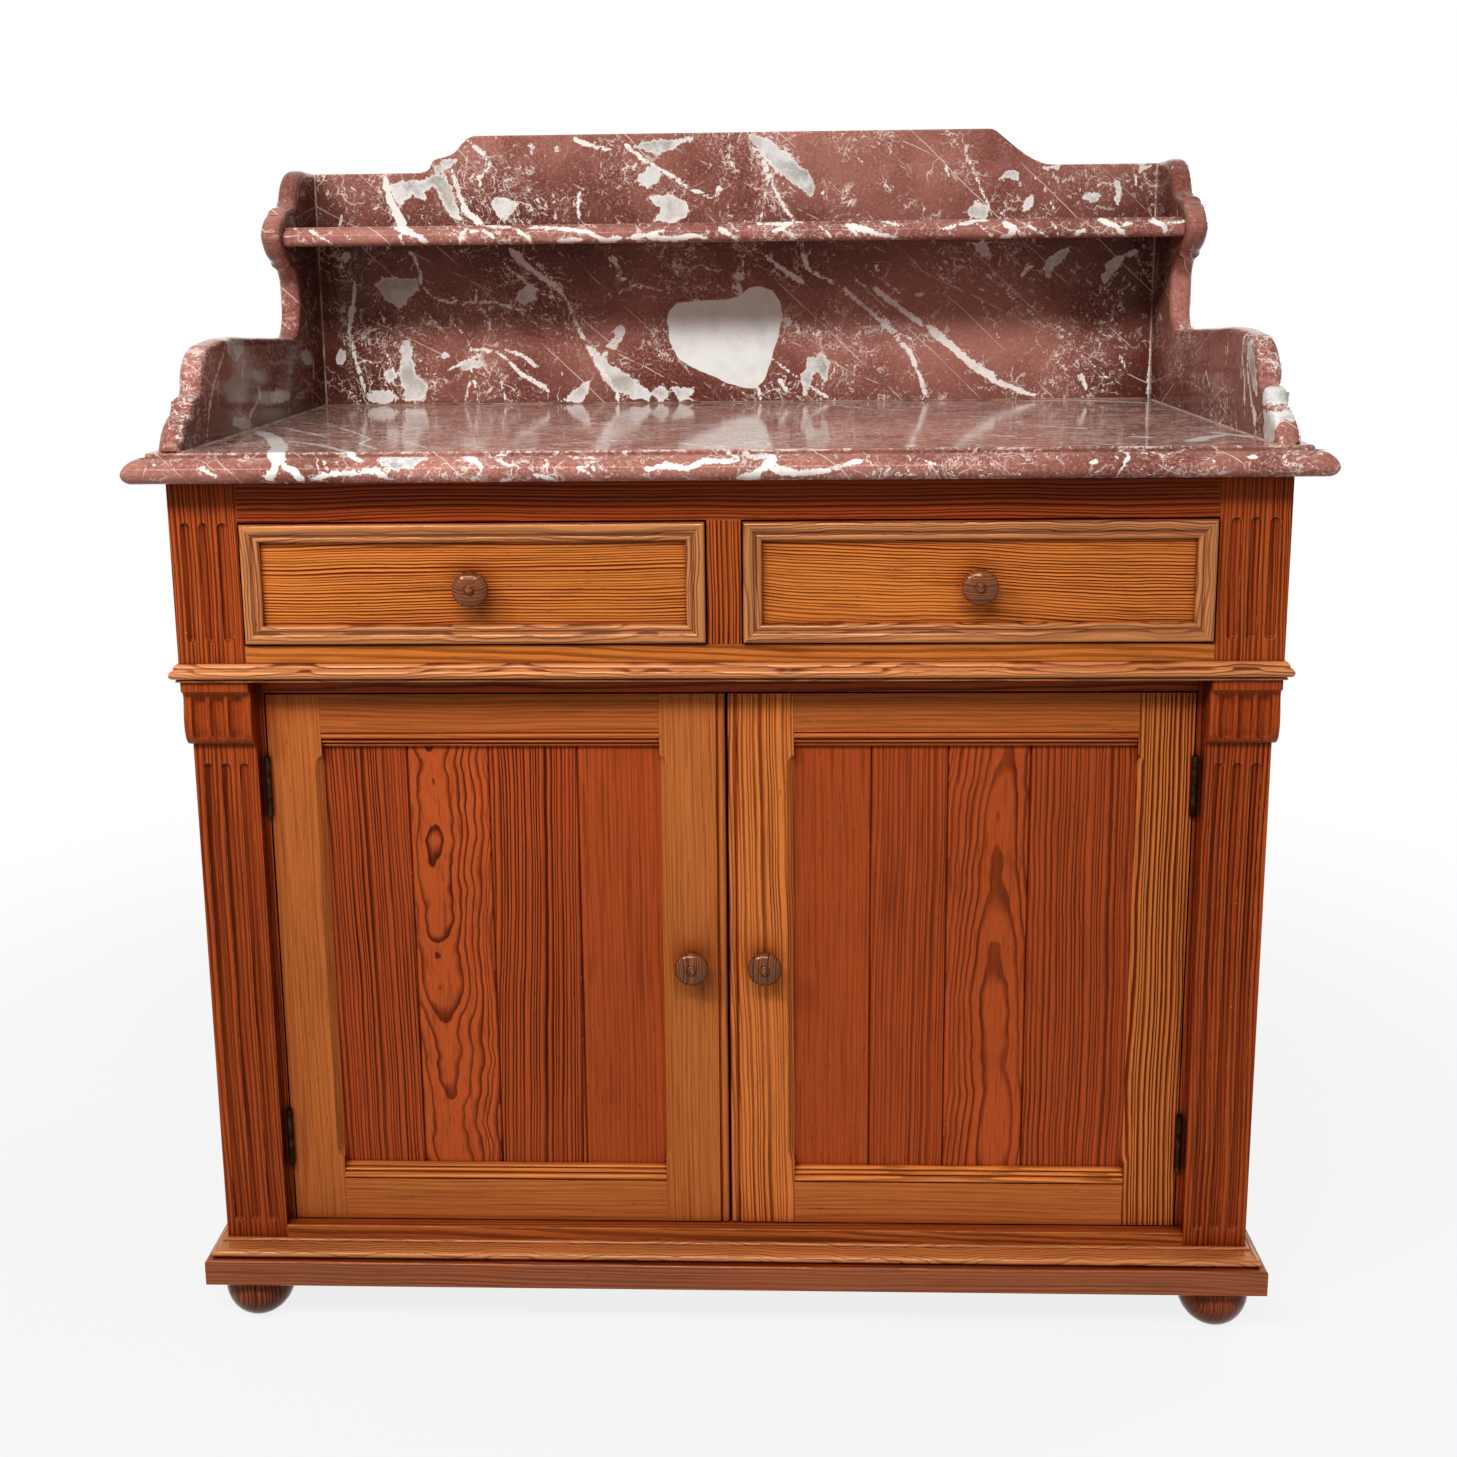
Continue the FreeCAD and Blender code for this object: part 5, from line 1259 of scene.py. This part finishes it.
# Door stiles, in millimetres: a stopped chamfer that sweeps out at both ends, and a bead where they meet
CHAMFER = 7.0
CHAMFER_SHARP = 0.35
CHAMFER_SWEEP = 13.0
CHAMFER_START = 8.0
CHAMFER_RUN_OUT = 1.0
SWEEP_SHARES = (0.0, 0.06, 0.16, 0.3, 0.48, 0.7, 1.0)
LONG_EDGE = 30 * MM
MEETING_BEAD = (
    0, 3.6, 0.35, 2.1, 1.3, 0.8, 2.6, 0.15, 3.9, 0, 5.2, 0.2, 6.5, 0.9, 7.4, 2, 7.8, 2.6, 8.4, 2.7,
    8.9, 2.2, 9.2, 0.4, 9.6, 0,
)


def chamfer_at(z, low, high):
    """Size of the stopped chamfer at a height."""
    away = min(z - low, high - z) / MM
    if away <= 0:
        return CHAMFER_SHARP * MM
    share = min(away / CHAMFER_SWEEP, 1.0)
    return (CHAMFER_SHARP + (CHAMFER - CHAMFER_SHARP) * math.sqrt(1 - (1 - share) ** 2)) * MM


def stile(node, side, section_at):
    """Door stile through sections from its foot to its head."""
    low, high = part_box(node)
    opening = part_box("door_reeding_" + side)
    start = opening[0].z + (REEDING + CHAMFER_START) * MM
    end = opening[1].z - (REEDING + CHAMFER_START) * MM
    sweep = [start + CHAMFER_SWEEP * MM * share for share in SWEEP_SHARES]
    back = [end - (level - start) for level in reversed(sweep)]
    sections = []
    for z in (low.z, start - CHAMFER_RUN_OUT * MM, *sweep, *back, end + CHAMFER_RUN_OUT * MM, high.z):
        spots = section_at(chamfer_at(z, start, end), *sorted((abs(low.x), abs(high.x))), low.y, high.y)
        sections.append([Vector((x, y, z)) for x, y in spots])
    shape = bmesh.new()
    lofted(shape, sections)
    if side == "left":
        flip(shape)
    soften(shape, CRISP_ARRIS, 2, [
        edge for edge in sharp_edges(shape, STILE_SHARP_ANGLE)
        if edge.calc_length() > LONG_EDGE or abs(edge.verts[0].co.z - edge.verts[1].co.z) < WELD])
    lay_grain(shape, node, "z", [STILE_CUTS[node]])
    put(shape, node + "_bar", "door_frame_wood", node)


def hinge_section(chamfer, inner, outer, front, back):
    return [(inner, back), (outer, back), (outer, front), (inner + chamfer, front), (inner, front + chamfer)]


def meeting_section(chamfer, meeting, outer, front, back):
    bead = [(meeting + across, front + deep) for across, deep in in_metres(MEETING_BEAD)]
    return bead + [(outer - chamfer, front), (outer, front + chamfer), (outer, back), (meeting, back)]


# How the boards were sawn. Each place of the pith is across the board, then behind its face.


def sawn(pith, tilt=None, tone=None, contrast=None, figure=None, stain=None):
    """The parts of a cut that are set: the others are left to chance."""
    cut = {"pith": pith, "tilt": tilt, "tone": tone, "contrast": contrast, "figure": figure, "stain": stain}
    return {name: value for name, value in cut.items() if value is not None}


PLINTH_CUTS = [sawn((0.150, 0.060), None, 0.10, 0.70, 0.04, 1.0)]
BASE_CUTS = [sawn((0.030, 0.028), None, 0.34, 1.0, 0.60, 0.22)]
MOULDING_CUTS = [sawn(None, None, None, 1.0, 0.30)]
DRAWER_FRAME_CUTS = [sawn(None, None, 0.18, 1.0, 0.30, 0.12)]
CORBEL_CUT = sawn(None, None, 0.50, 0.45, None, 0.35)
# the lower pilasters are toned and stained darker: partly dirt, partly painted shade of the post beside each
# door
POST_CUTS = [sawn(None, None, 0.40, None, None, 0.30)]
# the upper run of reeding is stained darker and redder than the lower run: painted shade
REED_CUTS = [sawn(None, None, 1.38, 0.7, None, -0.15), sawn(None, None, 1.20, 0.6, None, 0.50)]
FRIEZE_CUT = sawn((-0.150, 0.060), (0.006, 0.004), 0.44, 1.0)
DRAWER_RAIL_CUT = sawn((0.060, 0.045), (0.010, 0.014), 1.25, 0.7, None, -0.9)
MUNTIN_CUT = sawn((0.170, 0.040), (0.004, 0.0), 0.75, 1.2, None, -0.2)
DRAWER_CUTS = {
    "left": sawn((-0.160, 0.036), (-0.006, 0.006), 0.50, 1.0, 0.05),
    "right": sawn((-0.120, 0.044), (0.050, 0.020), 0.50, 1.0, 0.10),
}
BACK_CUTS = [
    sawn((0.150, 0.060), None, 0.30, 0.8),
    sawn((0.020, 0.050), (0.010, 0.020), 0.62, 1.2, 0.16),
    sawn((-0.140, 0.050), None, 0.44, 0.9),
    sawn((0.100, 0.040), None, 0.74, 1.0, 0.05),
    sawn((-0.012, 0.040), (-0.014, 0.026), 0.36, 1.2, 0.22),
    sawn((0.170, 0.060), None, 0.56, 0.8),
]
STILE_CUTS = {
    "hinge_stile_left": sawn((0.210, 0.090), (0.003, 0.002), 0.52, 0.30),
    "meeting_stile_left": sawn((-0.200, 0.080), (0.004, 0.0), 0.50, 0.34),
    "meeting_stile_right": sawn((0.130, 0.050), (0.010, 0.004), 1.35, 1.0, 0.05),
    "hinge_stile_right": sawn((0.180, 0.040), (0.002, 0.0), 0.92, 1.6),
}
RAIL_CUTS = {
    "top": sawn((0.180, 0.090), (0.004, 0.002), 0.50, 0.40, None, 0.35),
    "bottom": sawn((0.180, 0.090), (0.004, 0.002), 0.50, 0.36, None, 0.05),
}
PANEL_CUTS = {
    "left": [
        sawn((0.150, 0.030), (0.020, 0.004), 0.50, 1.0, 0.04),
        sawn((-0.012, 0.046), (0.02, 0.05), 0.62, 1.0, 0.42),
        sawn((-0.140, 0.035), (-0.020, 0.006), 0.45, 1.0, 0.03),
        sawn((-0.190, 0.085), (0.006, 0.003), 0.54, 0.30),
    ],
    "right": [
        sawn((0.200, 0.100), (0.004, 0.003), 0.46, 0.22),
        sawn((0.170, 0.035), (-0.004, 0.006), 0.50, 0.66),
        sawn((0.010, 0.034), (-0.02, -0.030), 0.60, 0.8, 0.22),
        sawn((-0.120, 0.040), (0.006, 0.010), 0.46, 0.8, 0.10),
    ],
}
TONGUE_REACH = 3 * MM
TONGUE_HALF = 1 * MM
DRAWER_WALL = 12 * MM


def back_boards():
    """Upright boards with a loose tongue behind every joint."""
    shape = cad_copy("back_boards")
    ends = sorted((extent(group) for group in islands(shape)), key=lambda pair: pair[0].x)
    soften(shape, WOOD_ARRIS)
    for (low, _), (_, high) in zip(ends[1:], ends):
        middle = (low.y + high.y) / 2
        add_board(shape, (high.x - TONGUE_REACH, middle - TONGUE_HALF, low.z + TONGUE_REACH),
                  (low.x + TONGUE_REACH, middle + TONGUE_HALF, high.z - TONGUE_REACH))
    lay_grain(shape, "back_boards", "z", BACK_CUTS)
    put(shape, "back_boards_dressed", "inner_wood", "back_boards")


def drawer_carcass(side):
    node = "drawer_carcass_" + side
    low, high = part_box(node)
    bottom_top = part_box("drawer_bottom_" + side)[1].z
    left, right, back = low.x + DRAWER_WALL, high.x - DRAWER_WALL, high.y - DRAWER_WALL
    boards(node + "_boards", "inner_wood", node, [
        (low, (left, high.y, high.z)), ((right, low.y, low.z), high),
        ((left, back, bottom_top), (right, high.y, high.z)),
    ], width=CRISP_ARRIS)


# Everything in its place
marble_slab()
marble_backboard()
marble_shelf()
for side in SIDES:
    marble_splash(side)

for side in SIDES:
    dress("upper_pilaster_" + side, "case_wood", "z", None, CRISP_ARRIS)
    dress("lower_pilaster_" + side, "case_wood", "z", POST_CUTS, CRISP_ARRIS)
    corbel(side)
    dress("side_board_" + side, "case_wood", "z")
plain_board("frieze_rail", "frieze_wood", "x", [FRIEZE_CUT])
plain_board("drawer_rail", "case_wood", "x", [DRAWER_RAIL_CUT])
plain_board("drawer_muntin", "case_wood", "z", [MUNTIN_CUT], CRISP_ARRIS)
dress("waist_board", "case_wood", "x")
plain_board("head_rail", "case_wood", "x")
dress("bottom_rail", "door_frame_wood", "x")
plain_board("floor_board", "inner_wood", "x")
plain_board("inner_shelf", "inner_wood", "x")
back_boards()
waist_moulding()
base_moulding()
plinth()
for corner in ("front_left", "front_right", "back_left", "back_right"):
    foot("foot_" + corner)

for side in SIDES:
    plain_board("drawer_front_" + side, "drawer_wood", "x", [DRAWER_CUTS[side]], CRISP_ARRIS)
    drawer_moulding(side)
    plain_board("drawer_bottom_" + side, "inner_wood", "x", None, CRISP_ARRIS)
    drawer_carcass(side)
    knob("drawer_knob_" + side, "x")

for side in SIDES:
    stile("hinge_stile_" + side, side, hinge_section)
    stile("meeting_stile_" + side, side, meeting_section)
    for level, cut in RAIL_CUTS.items():
        plain_board("door_%s_rail_%s" % (level, side), "door_frame_wood", "x", [cut], CRISP_ARRIS)
    door_reeding(side)
    dress("door_panel_" + side, "door_panel_wood", "z", PANEL_CUTS[side], JOINT_ARRIS)
    knob("door_knob_" + side, "z")

# Hinges, catches, pins and hidden blocks keep their CAD form.
for node, finish in (
        ("marble_pins", FINISHES["steel"]), ("post_hinge_leaves", FINISHES["brass"]),
        ("door_catches", FINISHES["brass"]), ("door_hinge_leaves_left", FINISHES["brass"]),
        ("door_hinge_leaves_right", FINISHES["brass"]), ("case_battens", HIDDEN_PINE),
        ("corner_blocks", HIDDEN_PINE)):
    mesh = frame["nodes"][node].data
    mesh.materials.clear()
    mesh.materials.append(finish)


# Stage, light and camera

WHITE = (1.0, 1.0, 1.0, 1.0)
FLOOR_GREY = (0.54, 0.54, 0.54, 1.0)
FLOOR_SIZE = 6.0
# Where the floor starts to fade and where it is plain white, and how white it is at each
FLOOR_FADE = (0.8, 1.9)
FLOOR_WHITE = (0.84, 1.0)
SKY_COLOUR = (1.0, 0.985, 0.96, 1.0)
SKY_STRENGTH = 0.24
# Name, place, what it is aimed at, width, depth and power in watts
LAMPS = (
    ("window_wide", (-0.45, -2.15, 2.75), (0, 0, 0.6), 2.2, 0.42, 68),
    ("window_left", (-1.90, -1.75, 2.55), (-0.1, 0, 0.6), 0.45, 0.45, 36),
    ("back_fill", (2.35, 1.60, 1.60), (0, 0.1, 0.55), 1.5, 1.1, 46),
)


def pale_floor():
    """Pale matt floor that turns plain white away from the stand, and keeps the stand's shadow."""
    r = material("pale_floor")
    matt = r.add("BsdfDiffuse", {"Color": FLOOR_GREY})
    glow = r.add("Emission", {"Color": WHITE, "Strength": 1.0})
    share = r.span(r.length(r.place()), *FLOOR_FADE, *FLOOR_WHITE)
    mixed = r.add("MixShader", {
        0: r.times(r.glow_to_camera(), share), 1: matt.outputs[0], 2: glow.outputs[0]})
    r.add("OutputMaterial", {"Surface": mixed.outputs[0]})
    return r.owner


def stage():
    shape = bmesh.new()
    bmesh.ops.create_grid(shape, x_segments=1, y_segments=1, size=FLOOR_SIZE)
    mesh = bpy.data.meshes.new("floor")
    shape.to_mesh(mesh)
    shape.free()
    mesh.materials.append(pale_floor())
    floor = bpy.data.objects.new("floor", mesh)
    bpy.context.scene.collection.objects.link(floor)


def area_light(name, place, aim, width, depth, power):
    lamp = bpy.data.lights.new(name, "AREA")
    lamp.shape = "RECTANGLE"
    lamp.size = width
    lamp.size_y = depth
    lamp.energy = power
    light = bpy.data.objects.new(name, lamp)
    bpy.context.scene.collection.objects.link(light)
    light.location = place
    light.rotation_euler = (Vector(aim) - Vector(place)).to_track_quat("-Z", "Y").to_euler()


def world():
    """Soft warm sky that shows as plain white."""
    r = Recipe(bpy.data.worlds.new("studio"))
    soft = r.add("Background", {"Color": SKY_COLOUR, "Strength": SKY_STRENGTH})
    white = r.add("Background", {"Color": WHITE, "Strength": 1.0})
    mixed = r.add("MixShader", {0: r.glow_to_camera(), 1: soft.outputs[0], 2: white.outputs[0]})
    r.add("OutputWorld", {"Surface": mixed.outputs[0]})
    bpy.context.scene.world = r.owner


def camera():
    lens = bpy.data.cameras.new("camera")
    lens.sensor_width = SENSOR_WIDTH
    lens.lens = CAMERA_FOCUS * SENSOR_WIDTH / FRAME_PIXELS
    lens.shift_x = 0.5 - CAMERA_MIDDLE[0] / FRAME_PIXELS
    lens.shift_y = CAMERA_MIDDLE[1] / FRAME_PIXELS - 0.5
    lens.clip_end = CAMERA_REACH
    seat = bpy.data.objects.new("camera", lens)
    bpy.context.scene.collection.objects.link(seat)
    yaw, pitch, roll = CAMERA_YAW, CAMERA_PITCH, CAMERA_ROLL
    ahead = Vector((math.sin(yaw) * math.cos(pitch), math.cos(yaw) * math.cos(pitch), math.sin(pitch)))
    level = Vector((math.cos(yaw), -math.sin(yaw), 0))
    above = level.cross(ahead)
    right = level * math.cos(roll) + above * math.sin(roll)
    up = above * math.cos(roll) - level * math.sin(roll)
    turn = Matrix((right, up, -ahead)).transposed().to_4x4()
    seat.matrix_world = Matrix.Translation(CAMERA_PLACE) @ turn
    bpy.context.scene.camera = seat


stage()
for lamp in LAMPS:
    area_light(*lamp)
world()
camera()
bpy.context.scene.view_settings.view_transform = "Standard"
